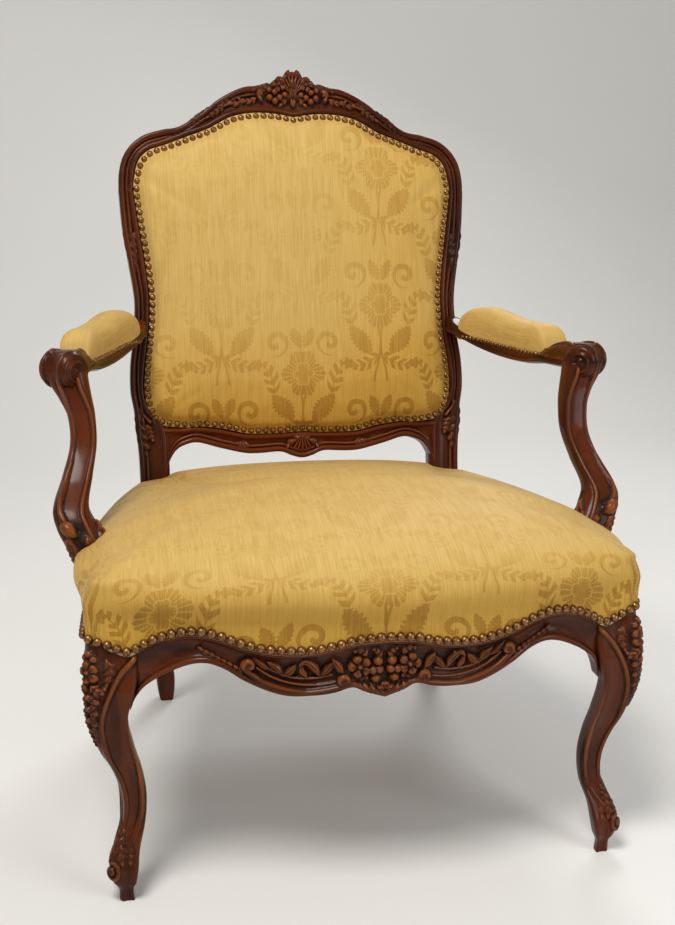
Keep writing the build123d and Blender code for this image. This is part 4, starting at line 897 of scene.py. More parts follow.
crest_outer, crest_wood = crest_rows[:, :2], crest_rows[:, 2:]
leafy = np.clip(1 - np.abs(crest_outer[:, 0]) / 40, 0, 1)
crest_outer[:, 1] += leafy**0.3 * 2.2 * (np.abs(np.sin(crest_outer[:, 0] * 0.21)) - 0.6)
crest = carved_bar("crest", crest_outer, crest_wood, "crest_rail")

rail_table = np.array([
    (1, 0.122, 0.2255), (0.975, 0.143, 0.2250), (0.95, 0.160, 0.2245), (0.915, 0.175, 0.2240),
    (0.86, 0.1855, 0.2235), (0.76, 0.1915, 0.2254),
    (0.60, 0.178, 0.219), (0.43, 0.165, 0.207), (0.32, 0.163, 0.205), (0.16, 0.165, 0.2055),
    (0.07, 0.155, 0.207), (0, 0.15, 0.2085)])
LOWER_HALF, OPENING_HALF = 213.0, 206.0
both = np.concatenate([rail_table, rail_table[:-1][::-1] * (-1, 1, 1)]) * (LOWER_HALF, BACK_RISE, BACK_RISE)
rail_rows = loft(both, LOWER_ROWS)
lower_rail = carved_bar("back_lower", rail_rows[:, [0, 1]], rail_rows[:, [0, 2]], "back_lower_rail")
print("crest and lower rail", len(crest.data.vertices), len(lower_rail.data.vertices))

# %% [markdown]
# ## Rear posts
# Each rear post is one long piece: a raked leg below the seat and a moulded stile above it. The leg's rings
# are squares with round corners, `rounded_ring`, and the stile's rings are the same moulding as the crest's.
# Both have as many points, so one grid of rings runs from the foot to the shoulder.

# %% Rear posts
def spow(values, power):
    return np.sign(values) * np.abs(values)**power


def rounded_ring(x, y, half_x, half_y):
    """Inner front corner, front, outer side, rear and inner side of a square with round corners: cosine and
    sine of an angle raised to a power under one."""
    turns = [np.linspace(225 + 90 * k, 315 + 90 * k, count, endpoint=False)
             for k, count in enumerate((FRONT_STEPS, SIDE_STEPS, REAR_STEPS, LEDGE_STEPS))]
    a = np.radians(np.concatenate(turns))
    return x + half_x * spow(np.cos(a), 0.42), y + half_y * spow(np.sin(a), 0.42)


rear_leg_table = np.array([
    (0, 0.888, 1.185, 0.5, 0.5), (0.06, 0.89, 1.185, 0.64, 0.66), (0.13, 0.892, 1.172, 0.70, 0.72),
    (0.23, 0.896, 1.142, 0.63, 0.66), (0.40, 0.904, 1.09, 0.68, 0.72), (0.60, 0.912, 1.062, 0.80, 0.80),
    (0.80, 0.914, 1.062, 0.92, 0.84)]) * (BACK_BASE, REAR_HALF, BACK_REACH, 21.0, 21.0)
stile_table = np.array([
    (0, 0.949, 0.79, 0.35), (0.09, 0.949, 0.79, 0.35), (0.165, 0.951, 0.79, 0.35), (0.228, 0.962, 0.805, 0.5),
    (0.262, 0.967, 0.878, 1), (0.308, 0.983, 0.909, 1), (0.367, 0.977, 0.897, 1), (0.428, 0.953, 0.873, 1),
    (0.506, 0.939, 0.858, 1), (0.584, 0.962, 0.873, 1), (0.664, 0.989, 0.899, 1), (0.742, 1.0, 0.922, 1)])
STILE_ROWS, LEG_ROWS = 330, 120
stile_share = np.linspace(0, stile_table[-1, 0], STILE_ROWS)
stile_rows = smooth(stile_table, stile_share)
stile_up = stile_share * BACK_RISE
stile_outer = np.column_stack([stile_rows[:, 0] * BACK_HALF, stile_up])
stile_wood = np.column_stack([stile_rows[:, 1] * BACK_HALF, stile_up])
low_part = stile_rows[:, 2] < 0.99
stile_inner = np.where(low_part, stile_wood[:, 0] - OPENING_HALF, REBATE_WIDE)
stile_inner = np.maximum(blurred(stile_inner[:, None], 6)[:, 0], 2.0)
stile_rebate = np.maximum(REBATE_DEEP * stile_rows[:, 2], 3.2)
flat, forward = bar_rings(stile_outer, stile_wood, stile_inner, stile_rebate)
post_way = np.tile((1.0, 0.0), (STILE_ROWS, 1))
stile_rings, stile_relief = carve_flat(flat, forward, post_way)
leg_keys = [key_ring(*rounded_ring(*row[1:]), row[0]) for row in rear_leg_table]
leg_spots = np.append(rear_leg_table[:, 0], BACK_BASE)
leg_rings = loft(leg_keys + [stile_rings[0]], LEG_ROWS, leg_spots)[:-1]
post_rings = np.concatenate([leg_rings, stile_rings])
post_relief = np.concatenate([np.zeros(leg_rings.shape[:2]), stile_relief])
wooden_pair("post_", post_rings, walnut_up, post_relief, "rear_post_")
print("posts", post_rings.shape)

# %% [markdown]
# ## Carving of the front
# The front rail and the front legs share one set of forms too, drawn across and up their front. On each
# side of the middle hangs a flower with berries and leaves. A string with a curl at both ends follows the
# arch beside it under a row of plain leaves, smaller leaves go on from there to the leg, and two strings
# sweep down each leg to the toe.

# %% Front carving
front_forms = Carving()
add, line, leaves = front_forms.add, front_forms.line, front_forms.leaves
add(flower_form, (29, 291), 14, 11.0)
add(berry_form, [(8, 297), (14, 286), (11, 277), (7, 287)], 6.0, 10.0)
leaves(
    (6, 7.0, 3, 0, (5, 300), (9, 308), (16, 312)), (7, 7.0, 3, 0, (20, 303), (27, 310), (38, 309)),
    (9, 9.0, 4, 0.2, (0, 266), (10, 262), (22, 265), (33, 272)),
    (7, 8.5, 3, 0, (2, 272), (1, 264), (1, 257)), (6, 6.5, 3, 0, (18, 280), (27, 276), (36, 279)))
inner_curl = scroll_line(45.5, 274, 6.5, 1.1, np.radians(-60))[::-1]
arch = curve([(50, 266), (66, 261.5), (88, 261), (113, 264.5), (137, 273), (154, 286)])
outer_curl = scroll_line(152, 293, 6.0, 1.1, np.radians(-30))
add(bead_form, np.concatenate([inner_curl, arch, outer_curl]), 4.6, 8.0)
line(bead_form, [(56, 273), (75, 270), (100, 271), (124, 278), (143, 290)], 1.5, 4.6)
plain_leaves = (([(47, 283), (53, 291), (60, 302)], 7, 7.4), ([(57, 299), (64, 289), (74, 280)], 6.5, 7.0),
                ([(95, 296), (93, 286), (87, 278)], 6, 6.8), ([(99, 295), (107, 286), (117, 280)], 6.5, 7.0),
                ([(114, 281), (122, 291), (133, 298)], 6.5, 7.0),
                ([(128, 288), (138, 294), (148, 303)], 5.5, 6.2))
for midrib, width, rise in plain_leaves:
    line(leaf_form, midrib, width, rise, lobes=1)
line(leaf_form, [(74, 280), (80, 291), (90, 298), (98, 292)], 7.5, 7.8, lobes=1, curl=0.3)
line(bead_form, [(60, 282), (80, 278), (105, 279), (125, 287), (140, 298)], 1.6, 4.2)
for k in range(7):
    share = k / 6
    foot_x, foot_z = 160 + 38 * share, 280 + 21 * share
    line(leaf_form, [(foot_x, foot_z), (foot_x + 3, foot_z + 8), (foot_x + 10, foot_z + 14)], 4.2,
         7.6 - 2.4 * share, lobes=2)
string_low = [(262, 276), (273, 263), (281, 242), (285, 216), (281, 190), (277, 165),
              (275, 130), (277, 100), (285, 78), (296, 62)]
string_high = [(257, 309), (272, 303), (294, 281), (311, 248), (317, 218), (311, 180), (300, 150), (294, 120),
               (296, 95), (304, 75), (310, 62)]
line(bead_form, string_low, 3.6, 4.0)
line(bead_form, string_high, 3.4, 4.0)
leaves(
    (9, 5.0, 4, 0, (304, 78), (303, 62), (301, 46)), (5, 4.0, 3, 0, (294, 70), (293, 57), (292, 46)),
    (5, 4.0, 3, 0, (312, 70), (311, 57), (309, 46)))
print("forms on the front", len(front_forms.forms))

# %% [markdown]
# ## Front rail
# The serpentine front rail is a grid too: its rows stand across the chair. Each row starts at the nail line,
# goes down the carved face to the wavy lower edge, under it, and up behind to the cloth's band. Heights are
# added towards the viewer. The lower edge runs down beside each leg, and there the face draws back into it.

# %% Front rail
apron_table = np.array([
    (0, 0.947, 0.735), (0.07, 0.942, 0.757), (0.11, 0.938, 0.774), (0.17, 0.922, 0.76),
    (0.25, 0.908, 0.748), (0.33, 0.905, 0.747), (0.40, 0.911, 0.765), (0.48, 0.929, 0.802),
    (0.54, 0.951, 0.84), (0.60, 0.967, 0.86), (0.66, 0.97, 0.853), (0.74, 0.951, 0.818),
    (0.795, 0.926, 0.782), (0.82, 0.910, 0.758), (0.84, 0.899, 0.725), (0.858, 0.893, 0.672)])
corner_table = np.array([(0.87, 0.894), (0.895, 0.903), (0.94, 0.922), (1.0, 0.936)])
front_plan = np.array([(0, 1.0), (0.15, 0.992), (0.30, 0.97), (0.45, 0.942), (0.60, 0.913), (0.70, 0.89),
                       (0.80, 0.863), (0.88, 0.845), (0.945, 0.836)])
nail_table = np.concatenate([apron_table[:, :2], corner_table])
RAIL_DEEP, BAND, UNDER_STEPS = 30.0, 1.6, 6


def front_reach_at(x):
    return FRONT_REACH * smooth(front_plan, np.abs(x) / SEAT_HALF)[..., 0]


def nail_height_at(x):
    return SEAT_TOP * smooth(nail_table, np.abs(x) / SEAT_HALF)[..., 0]


def rail_section(nails, low, face_steps, hollow_deep):
    """Depth behind the face and height of a seat rail's ring, row by row: band, face, underside, back."""
    share = np.linspace(0, 1, face_steps)
    height = nails - 2.0
    z = height[:, None] + (low - height)[:, None] * share
    down, up = height[:, None] - z, z - low[:, None]
    flat = np.clip((down - 6) / np.maximum((height - low)[:, None] - 13, 1), 0, 1)
    ground = -1.6 - np.reshape(hollow_deep, (-1, 1)) * np.sin(np.pi * flat)**0.7
    upper = np.maximum(string_on(down - 2.4, 2.5, 3.4, -1.6), string_on(down - 6.0, 1.5, 2.0, -2.2))
    lower = string_on(up - 3.2, 3.9, 4.6, -2.6)
    face = np.maximum(ground, np.maximum(upper, lower))
    ones = np.ones((len(z), 1))
    under_and_back = np.append(4 + (RAIL_DEEP - 4) * np.linspace(0, 1, UNDER_STEPS),
                               (RAIL_DEEP, RAIL_DEEP, 16, BAND, BAND))
    deep = np.concatenate([-face, under_and_back * ones], 1)
    tall = np.concatenate([z, (low[:, None] - 0.6) * np.ones((1, UNDER_STEPS)), (low[:, None] + SEAT_TOP) / 2,
                           np.full((len(z), 3), SEAT_TOP), height[:, None] + 0.5], 1)
    return deep, tall


def carved_face(deep, height, ground):
    """The face's depth with the forms raised on it from their ground, and the relief of whole rings."""
    face = deep[:, :height.shape[1]]
    carved = np.where(height > 0, np.minimum(face, ground - height), face)
    return carved, np.pad(relief_of(-carved, 12, 1.6), ((0, 0), (0, deep.shape[1] - face.shape[1])))


FACE_STEPS, FRONT_ROWS, RAIL_END, DRAWN_BACK = 64, 570, 284, 10.0
rail_x = np.linspace(-RAIL_END, RAIL_END, FRONT_ROWS)
share = np.abs(rail_x) / SEAT_HALF
hollow = 6.0 - 5.0 * np.clip((np.abs(rail_x) - 225) / 45, 0, 1)
low_edge = SEAT_TOP * smooth(apron_table, share)[:, 1]
deep, tall = rail_section(nail_height_at(rail_x), low_edge, FACE_STEPS, hollow)
across = np.broadcast_to(rail_x[:, None], deep.shape)
carved, relief = carved_face(deep, front_forms.over(across, tall)[:, :FACE_STEPS], 6.4)
set_back = DRAWN_BACK * np.clip((np.abs(rail_x) - RAIL_END + 10) / 10, 0, 1)
deep[:, :FACE_STEPS] = carved + set_back[:, None]
deep[:, FACE_STEPS] = carved[:, -1] + 2.5
under = slice(FACE_STEPS, FACE_STEPS + UNDER_STEPS)
deep[:, under] = np.maximum(deep[:, under], deep[:, FACE_STEPS - 1:FACE_STEPS] + 0.5)
rail_rings = np.stack([across, -front_reach_at(across) + deep, tall], -1)
wooden("rail_front", rail_rings, walnut_across, relief, "seat_rail_front")
print("front rail", rail_rings.shape)

# %% [markdown]
# ## Side rails
# The side rails bow outwards in plan and have the same mouldings. A leaf lies over each end of the hollow.

# %% Side rails
side_plan = np.array([(0, 0), (0.15, 0.04), (0.32, 0.13), (0.5, 0.36), (0.7, 0.61), (0.86, 0.83), (1, 1)])
side_edges = np.array([(0, 0.936, 0.80), (0.12, 0.94, 0.84), (0.3, 0.93, 0.83), (0.5, 0.922, 0.815),
                       (0.7, 0.93, 0.83), (0.88, 0.94, 0.835), (1, 0.936, 0.82)])


def side_share(y):
    return (np.asarray(y, float) + CORNER_REACH) / (BACK_REACH + CORNER_REACH)


def side_half_at(y):
    return SEAT_HALF - (SEAT_HALF - REAR_HALF) * smooth(side_plan, side_share(y))[..., 0]


side_forms = Carving()
add, line, leaves = side_forms.add, side_forms.line, side_forms.leaves
add(shell_form, (-10, 306), 21, 7.0, flutes=7, start=np.radians(215), spread=np.radians(110))
for hand in (-1, 1):
    leaf = np.multiply([(12, 303), (30, 300), (48, 305)], (hand, 1)) - (10, 0)
    tendril = np.multiply([(16, 297), (40, 297), (66, 306)], (hand, 1)) - (10, 0)
    line(leaf_form, leaf, 7, 5.8, lobes=5)
    line(bead_form, tendril, 1.6, 4.4)
leaves(
    (8, 6.0, 6, 0, (-222, 300), (-205, 306), (-180, 308), (-160, 304)),
    (7, 5.6, 5, 0, (205, 308), (185, 306), (165, 302)))
SIDE_FACE_STEPS, SIDE_ROWS = 44, 430
rail_y = np.linspace(-231, 240, SIDE_ROWS)
edges = smooth(side_edges, side_share(rail_y)) * SEAT_TOP
deep, tall = rail_section(edges[:, 0], edges[:, 1], SIDE_FACE_STEPS, 4.4)
depth = np.broadcast_to(rail_y[:, None], deep.shape)
height = side_forms.over(depth, tall, mirror=False)[:, :SIDE_FACE_STEPS]
deep[:, :SIDE_FACE_STEPS], relief = carved_face(deep, height, 5.6)
side_rings = np.stack([side_half_at(depth) - deep, depth, tall], -1)
wooden_pair("rail_", side_rings, walnut_deep, relief, "seat_rail_")
print("side rails", deep.shape)

# %% [markdown]
# ## Front legs
# A cabriole leg bends out at the knee and in at the ankle. Each ring of its grid is a square whose front and
# side are hollowed, whose outer corner is round and whose inner side is soft. The strings drawn for the
# front are raised where the wood faces the front, and strings for the side where it faces the side. On the
# knee's corner hang a flower and a chain of husks, with a small scroll and a leaf on the toe below them, all
# placed by the distance round the ring from that corner. Above the nails the wood draws in behind the cloth.

# %% Front legs
front_leg_table = np.array([
    (0, 0.897, 0.866, 0.28, 0.6), (0.042, 0.899, 0.865, 0.28, 0.6), (0.072, 0.902, 0.860, 0.44, 0.6),
    (0.12, 0.903, 0.850, 0.54, 0.55), (0.18, 0.888, 0.826, 0.47, 0.42), (0.26, 0.861, 0.785, 0.43, 0.42),
    (0.36, 0.856, 0.774, 0.46, 0.42),
    (0.455, 0.876, 0.78, 0.53, 0.42), (0.545, 0.908, 0.794, 0.635, 0.42), (0.66, 0.931, 0.805, 0.70, 0.42),
    (0.755, 0.918, 0.80, 0.84, 0.45), (0.80, 0.912, 0.785, 0.90, 0.48),
    (0.85, 0.910, 0.770, 0.905, 0.5), (0.90, 0.908, 0.757, 0.895, 0.5),
    (0.95, 0.906, 0.75, 0.875, 0.5), (1, 0.906, 0.75, 0.875, 0.5)])
front_leg_table = front_leg_table * (SEAT_TOP, SEAT_HALF, FRONT_REACH, 34.0, 1)


def through(a, b, c, count):
    """Points on the curve of second degree through three points."""
    t = np.linspace(0, 1, count, endpoint=False)[:, None]
    a, b, c = (np.asarray(p, float) for p in (a, b, c))
    return a * (1 - t) * (1 - 2 * t) + 4 * b * t * (1 - t) + c * t * (2 * t - 1)


def leg_ring(roundness):
    """The leg's section in shares of its half thickness, outwards and forwards."""
    far, turn = 1 - roundness, 1 - 0.36 * roundness
    middle = (far - 0.55) / 2
    marks = [(far, 1), (turn, turn), (1, far), (0.90, middle), (1, -0.55), (0.97, -0.82), (0.72, -0.92),
             (0.46, -0.92), (0.2, -0.92), (-0.62, -0.62), (-0.92, 0.2), (-0.92, 0.46), (-0.92, 0.72),
             (-0.82, 0.97), (-0.55, 1), (middle, 0.90), (far, 1)]
    counts = (26, 26, 8, 5, 12, 5, 8, 30)
    return np.concatenate([through(*marks[2 * k:2 * k + 3], count) for k, count in enumerate(counts)])


CORNER_POINT, LEG_RINGS = 13, 330
leg_keys = []
for z, x, y, half, roundness in front_leg_table:
    ring_x, ring_y = half * leg_ring(roundness).T
    leg_keys.append(key_ring(x + ring_x, -y - ring_y, z))
leg_rings = loft(leg_keys, LEG_RINGS, front_leg_table[:, 0])
leg_normals = normals_of(leg_rings)
corner_way = way_round(leg_rings, CORNER_POINT)

knee_forms = Carving()
add, line, leaves = knee_forms.add, knee_forms.line, knee_forms.leaves
add(flower_form, (0, 286), 13, 9.0)
add(berry_form, [(-6, 301), (6, 301), (0, 306)], 4.6, 6.0)
for hand in (-1, 1):
    line(leaf_form, [(3 * hand, 273), (12 * hand, 266), (20 * hand, 270)], 8, 7.0, lobes=4)
    line(leaf_form, [(20 * hand, 300), (24 * hand, 286), (19 * hand, 268)], 7, 4.0, lobes=4)
for z, size in ((262, 8.0), (248, 7.2), (234, 6.4), (221, 5.4), (209, 4.4)):
    for hand in (-1, 1):
        husk = [(0, z), (hand * size * 0.8, z - 7), (hand * size * 0.5, z - 15)]
        line(leaf_form, husk, size, size * 0.75, lobes=3)
    add(berry_form, [(0, z - 2)], size * 0.42, size * 0.85)
line(bead_form, scroll_line(0, 40, 10.5, 1.5, np.pi / 2), 2.6, 3.6)
line(leaf_form, [(0, 57), (0, 72), (0, 92)], 8, 4.4, lobes=4)
side_strings = Carving()
side_strings.line(bead_form, [(-228, 303), (-240, 270), (-246, 230), (-243, 190), (-246, 150), (-250, 110),
                              (-264, 78), (-276, 62)], 3.2, 3.6)
side_strings.line(bead_form, [(-262, 268), (-276, 240), (-276, 205), (-268, 170), (-262, 135), (-265, 100),
                              (-280, 72)], 3.0, 3.2)
side_strings.line(leaf_form, [(-284, 76), (-288, 60), (-290, 46)], 7, 4.4, lobes=4)

facing_front = np.clip(-leg_normals[..., 1], 0, 1)**2
facing_side = np.clip(leg_normals[..., 0], 0, 1)**2
on_front = front_forms.over(leg_rings[..., 0], leg_rings[..., 2]) * facing_front
on_side = side_strings.over(leg_rings[..., 1], leg_rings[..., 2], mirror=False) * facing_side
on_knee = knee_forms.over(corner_way, leg_rings[..., 2], mirror=False)
height = np.maximum(np.maximum(on_front, on_side), on_knee * 0.9)
under_cloth = np.clip((leg_rings[..., 2] - 317) / 4, 0, 1)
height = height * (1 - under_cloth) - 4.6 * under_cloth
carved_leg = leg_rings + leg_normals * (height - 0.6)[..., None]
relief = relief_of(height, 10, 1.6, closed=True)
wooden_pair("leg_", carved_leg, walnut_up, relief, "front_leg_")
print("front legs", carved_leg.shape)

# %% [markdown]
# ## Arm supports
# Each support is an S set back from the leg. Its foot runs down over the cloth to the side rail's face. Its
# ring is a square with round corners, with two strings along the front and a hollow between them. A curl
# stands out at the front above the foot, and leaves lie over the cloth below it. Forms are placed by the
# distance round the ring from the front, and by height.

# %% Arm supports
support_table = np.array([
    (0.925, 0.942, 0.33, 0.60, 0.60), (0.96, 0.948, 0.333, 0.72, 0.70), (1, 0.958, 0.338, 0.82, 0.78),
    (1.07, 0.972, 0.37, 0.9, 0.86), (1.12, 0.985, 0.37, 0.98, 0.92), (1.18, 1.015, 0.345, 0.98, 0.92),
    (1.24, 1.036, 0.30, 0.86, 0.92), (1.33, 1.01, 0.20, 0.74, 0.86), (1.43, 0.984, 0.125, 0.66, 0.80),
    (1.53, 0.986, 0.085, 0.68, 0.80), (1.59, 1.004, 0.066, 0.80, 0.84), (1.64, 1.022, 0.058, 0.94, 0.88),
    (1.69, 1.032, 0.052, 1.0, 0.90)]) * (SEAT_TOP, SEAT_HALF, -FRONT_REACH, 25.0, 24.0)
AROUND, SUPPORT_RINGS, ARM_RINGS = 120, 250, 260
turns = np.radians(-90 + 360 * np.arange(AROUND) / AROUND)
support_keys = []
for z, x, y, half_x, half_y in support_table:
    ring_x, ring_y = x + half_x * spow(np.cos(turns), 0.6), y + half_y * spow(np.sin(turns), 0.6)
    support_keys.append(key_ring(ring_x, ring_y, z))
support_rings = loft(support_keys, SUPPORT_RINGS, support_table[:, 0])
support_normals = normals_of(support_rings)
way = way_round(support_rings)
tall = support_rings[..., 2]
slim = np.clip((tall - 400) / 60, 0, 1)
strings = string(np.abs(way) - 13.5 + 1.5 * slim, 2.9, 3.2)
trough = -3.0 * np.exp(-(way / 7.5)**2) - 1.3 * np.exp(-((np.abs(way) - 19.5) / 3.0)**2)
support_forms = Carving()
add, line, leaves = support_forms.add, support_forms.line, support_forms.leaves
add(berry_form, [(9, 409)], 9.5, 9.0)
line(bead_form, [(9, 414), (13, 432), (14, 452), (11, 476)], 4.2, 4.6, taper=0.6)
leaves(
    (11, 6.0, 4, 0.4, (-34, 415), (-38, 398), (-42, 380)),
    (8, 4.6, 3, 0, (-26, 405), (-30, 390), (-34, 374)), (8, 4.4, 4, 0, (14, 400), (18, 388), (20, 370)),
    (8, 4.0, 4, 0, (-8, 402), (-8, 388), (-8, 370)))
height = np.maximum(strings + trough, support_forms.over(way, tall, mirror=False))
height = np.where(tall > 574, height * np.clip((583 - tall) / 9, 0, 1), height)
carved_support = support_rings + support_normals * height[..., None]
relief = relief_of(height, 10, 1.5, closed=True)
wooden_pair("support_", carved_support, walnut_up, relief, "arm_support_")
print("supports", carved_support.shape)

# %% [markdown]
# ## Arms and volutes
# The arm is a bar that swings out from the stile, dips, and ends in a scroll over its support. The bar is
# rings along the arm; a string runs along its lower edges and two more along its top in front of the pad.
# The scroll is a short roll at the arm's end, turned by half a right angle so that one end faces the front
# and inwards. Both its ends show a ridge that winds in to an eye: the ridge is highest where the distance
# from the eye, in turns, equals the angle.

# %% Arms
arm_table = np.array([
    (1.29, 0.974, 0.46, 1.712, 1.772), (1.215, 0.982, 0.55, 1.705, 1.768), (1.14, 1.008, 0.72, 1.698, 1.754),
    (1.056, 1.052, 0.92, 1.690, 1.742), (0.862, 1.14, 1.0, 1.657, 1.708), (0.647, 1.22, 1.02, 1.637, 1.69),
    (0.431, 1.292, 1.02, 1.634, 1.69), (0.259, 1.332, 1.0, 1.648, 1.70), (0.15, 1.35, 0.98, 1.65, 1.735),
    (0.043, 1.364, 0.98, 1.652, 1.755), (-0.04, 1.372, 1.0, 1.656, 1.76), (-0.085, 1.376, 1.0, 1.66, 1.757)])
arm_table = arm_table * (BACK_REACH, REAR_HALF, 24.5, SEAT_TOP, SEAT_TOP)
arm_keys = []
for y, x, half, low, high in arm_table:
    ring_x, ring_z = half * spow(np.cos(turns), 0.5), (high - low) / 2 * spow(np.sin(turns), 0.5)
    arm_keys.append(key_ring(x + ring_x, y, (low + high) / 2 + ring_z))
arm_rings = loft(arm_keys, ARM_RINGS, -arm_table[:, 0])
arm_normals = normals_of(arm_rings)
arm_rows = smooth(arm_table, arm_rings[:, 0, 1])
off_middle = arm_rings[..., 0] - arm_rows[:, :1]
above = arm_rings[..., 2] - arm_rows[:, 2:3]
facing_up = np.clip(arm_normals[..., 2], 0, 1)**2
sideways = 1 - arm_normals[..., 2]**2
ahead = np.clip((66 - arm_rings[..., 1]) / 8, 0, 1)
height = string(above - 5.0, 2.2, 1.8) * sideways
height = np.maximum(height, string(above - 13.5, 1.6, 1.4) * sideways * ahead)
top_strings = string(np.abs(off_middle) - 16.5, 3.4, 3.2) - 1.6 * np.exp(-((np.abs(off_middle) - 10) / 4)**2)
height = np.maximum(height, 0) + top_strings * facing_up * ahead
arm_forms = Carving()
arm_forms.leaves(
    (13, 7.0, 4, 0.3, (0, 34), (0, 48), (0, 63)), (8, 5.0, 3, 0.3, (6, 40), (13, 50), (16, 63)))
height = np.maximum(height, arm_forms.over(off_middle, arm_rings[..., 1]) * facing_up)
carved_arm = arm_rings + arm_normals * height[..., None]
relief = relief_of(height, 10, 1.4, closed=True)

eye = np.array([REAR_HALF * 1.376 + 1.0, BACK_REACH * -0.085 - 1.0, SEAT_TOP * 1.757 - 21.5])
ROLL, HALF_LONG, ROUND, ROLL_AROUND, TURN = 22.5, 24.0, 6.5, 160, np.radians(46)
wind = 2 * np.pi * np.arange(ROLL_AROUND) / ROLL_AROUND
whole_way = np.ones(ROLL_AROUND)
reach = np.linspace(0.02, 1, 30)
face_reach = (ROLL - ROUND) * reach[:, None]
ridge = (0.5 + 0.5 * np.cos(2 * np.pi * face_reach / 8.6 - wind))**1.3 * 2.3 * np.clip(face_reach / 5, 0, 1)
ridge = np.maximum(ridge, string(face_reach, 4.4, 2.6)) * np.clip((1 - reach[:, None]) * 9, 0, 1)
bend = np.radians(np.linspace(0, 90, 8)[1:-1])[:, None]
along_rim = np.linspace(-1, 1, 44)[:, None] * (HALF_LONG - ROUND)
over_top = np.clip((270 - np.degrees(wind)) / 180, 0, 1)
rim_rise = string(np.abs(along_rim) - 12.5 - 3.0 * over_top, 2.8, 2.6) - 1.5 * np.exp(-(along_rim / 7)**2)
end_reach = face_reach * whole_way
round_reach = (ROLL - ROUND + ROUND * np.sin(bend)) * whole_way
round_across = (HALF_LONG - ROUND + ROUND * np.cos(bend)) * whole_way
roll_reach = np.concatenate([end_reach, round_reach, ROLL + rim_rise, round_reach[::-1], end_reach[::-1]])
roll_across = np.concatenate([-HALF_LONG - ridge, -round_across, along_rim * whole_way, round_across[::-1],
                              HALF_LONG + ridge[::-1]])
ahead_part = roll_reach * np.cos(wind)
roll_rings = np.stack([eye[0] + roll_across * np.cos(TURN) - ahead_part * np.sin(TURN),
                       eye[1] + roll_across * np.sin(TURN) + ahead_part * np.cos(TURN),
                       eye[2] + roll_reach * np.sin(wind)], -1)
end_relief, rim_relief = relief_of(ridge, 6, 1.2), relief_of(rim_rise, 6, 1.2)
bend_relief = np.zeros_like(round_reach)
roll_relief = np.concatenate([end_relief, bend_relief, rim_relief, bend_relief, end_relief[::-1]])
wooden_pair("arm_wood_", carved_arm, walnut_deep, relief, "arm_")
wooden_pair("arm_scroll_", roll_rings, walnut_across, roll_relief)
print("arms", carved_arm.shape, "scrolls", roll_rings.shape)

# %% [markdown]
# ## Stuffed pieces
# The seat, the back and the arm pads are stuffed with hair under stretched damask. Each starts as a formula:
# a square of places is laid over the piece, its outermost square lies along the nails, and each smaller
# square lies further in and higher, by a table of heights. The lines of the square follow the cloth's warp
# and weft, so the length along them can be the cloth map. A short cloth simulation then blows the cover up
# from inside while its edge is held by the nails, which gives it the soft unevenness of stuffed cloth.

# %% Stuffed helpers
def square_grid(count):
    """Places of a square from -1 to 1, denser towards its edges, where the cover turns down, and the size of
    the smaller square that each place lies on."""
    share = np.linspace(-1, 1, count)
    share = np.sign(share) * (1 - (1 - np.abs(share))**1.25)
    a, b = np.meshgrid(share, share)
    return a, b, np.maximum(np.abs(a), np.abs(b))


def edge_place(a, b):
    """How far round the square's rim each place lies, as a share of eight half sides from the front's middle
    towards positive X. Every place is first pushed out to the rim."""
    far_out = np.maximum(np.maximum(np.abs(a), np.abs(b)), 1e-9)
    a, b = a / far_out, b / far_out
    front, right, rear = np.isclose(b, -1), np.isclose(a, 1), np.isclose(b, 1)
    place = np.where(front, a, np.where(right, 2 + b, np.where(rear, 4 - a, 6 - b)))
    return np.mod(place, 8) / 8


def on_outline(outline, marks, place):
    """Points of a closed outline at shares of its rim; marks give the outline's points their own shares."""
    wide = np.concatenate([outline, outline[:1]])
    marks = np.append(marks, 1.0)
    return np.stack([np.interp(place, marks, wide[:, k]) for k in range(2)], -1)


def cloth_map(points):
    """Lengths in metres along the grid's two sets of lines, counted from the middle ones."""
    across = np.linalg.norm(np.diff(points, axis=1), axis=2)
    along = np.linalg.norm(np.diff(points, axis=0), axis=2)
    u = np.concatenate([np.zeros((len(points), 1)), np.cumsum(across, axis=1)], 1)
    v = np.concatenate([np.zeros((1, points.shape[1])), np.cumsum(along, axis=0)], 0)
    middle = len(points) // 2
    return np.stack([u - u[:, middle:middle + 1], v - v[middle:middle + 1]], -1) / 1000


def stuffed_piece(name, top, floor, material, shade_and_figure, pinned, cloth=None):
    """A closed cushion from a grid of points: its top, a floor under it and a strip that joins their rims.
    Its cloth map is given, or else measured along the grid's lines."""
    count = len(top)
    points = np.concatenate([top.reshape(-1, 3), floor.reshape(-1, 3)])
    k = np.arange(count * count).reshape(count, count)
    face = np.stack([k[:-1, :-1], k[:-1, 1:], k[1:, 1:], k[1:, :-1]], -1).reshape(-1, 4)
    rim = np.concatenate([k[0, :-1], k[:-1, -1], k[-1, :0:-1], k[:0:-1, 0]])
    after = np.roll(rim, -1)
    size = count * count
    wall = np.stack([after, rim, rim + size, after + size], -1)
    quads = np.concatenate([face, face[:, ::-1] + size, wall])
    cloth = cloth_map(top) if cloth is None else cloth
    values = {"shade_and_figure": np.concatenate([shade_and_figure.ravel(), shade_and_figure.ravel() * 0]),
              "pinned": np.concatenate([pinned.ravel(), np.ones(size)])}
    return object_from(name, points, quads, np.zeros((0, 3), int), material,
                       np.concatenate([cloth.reshape(-1, 2)] * 2), values)


FRAMES, STIFFNESS = 14, 12.0


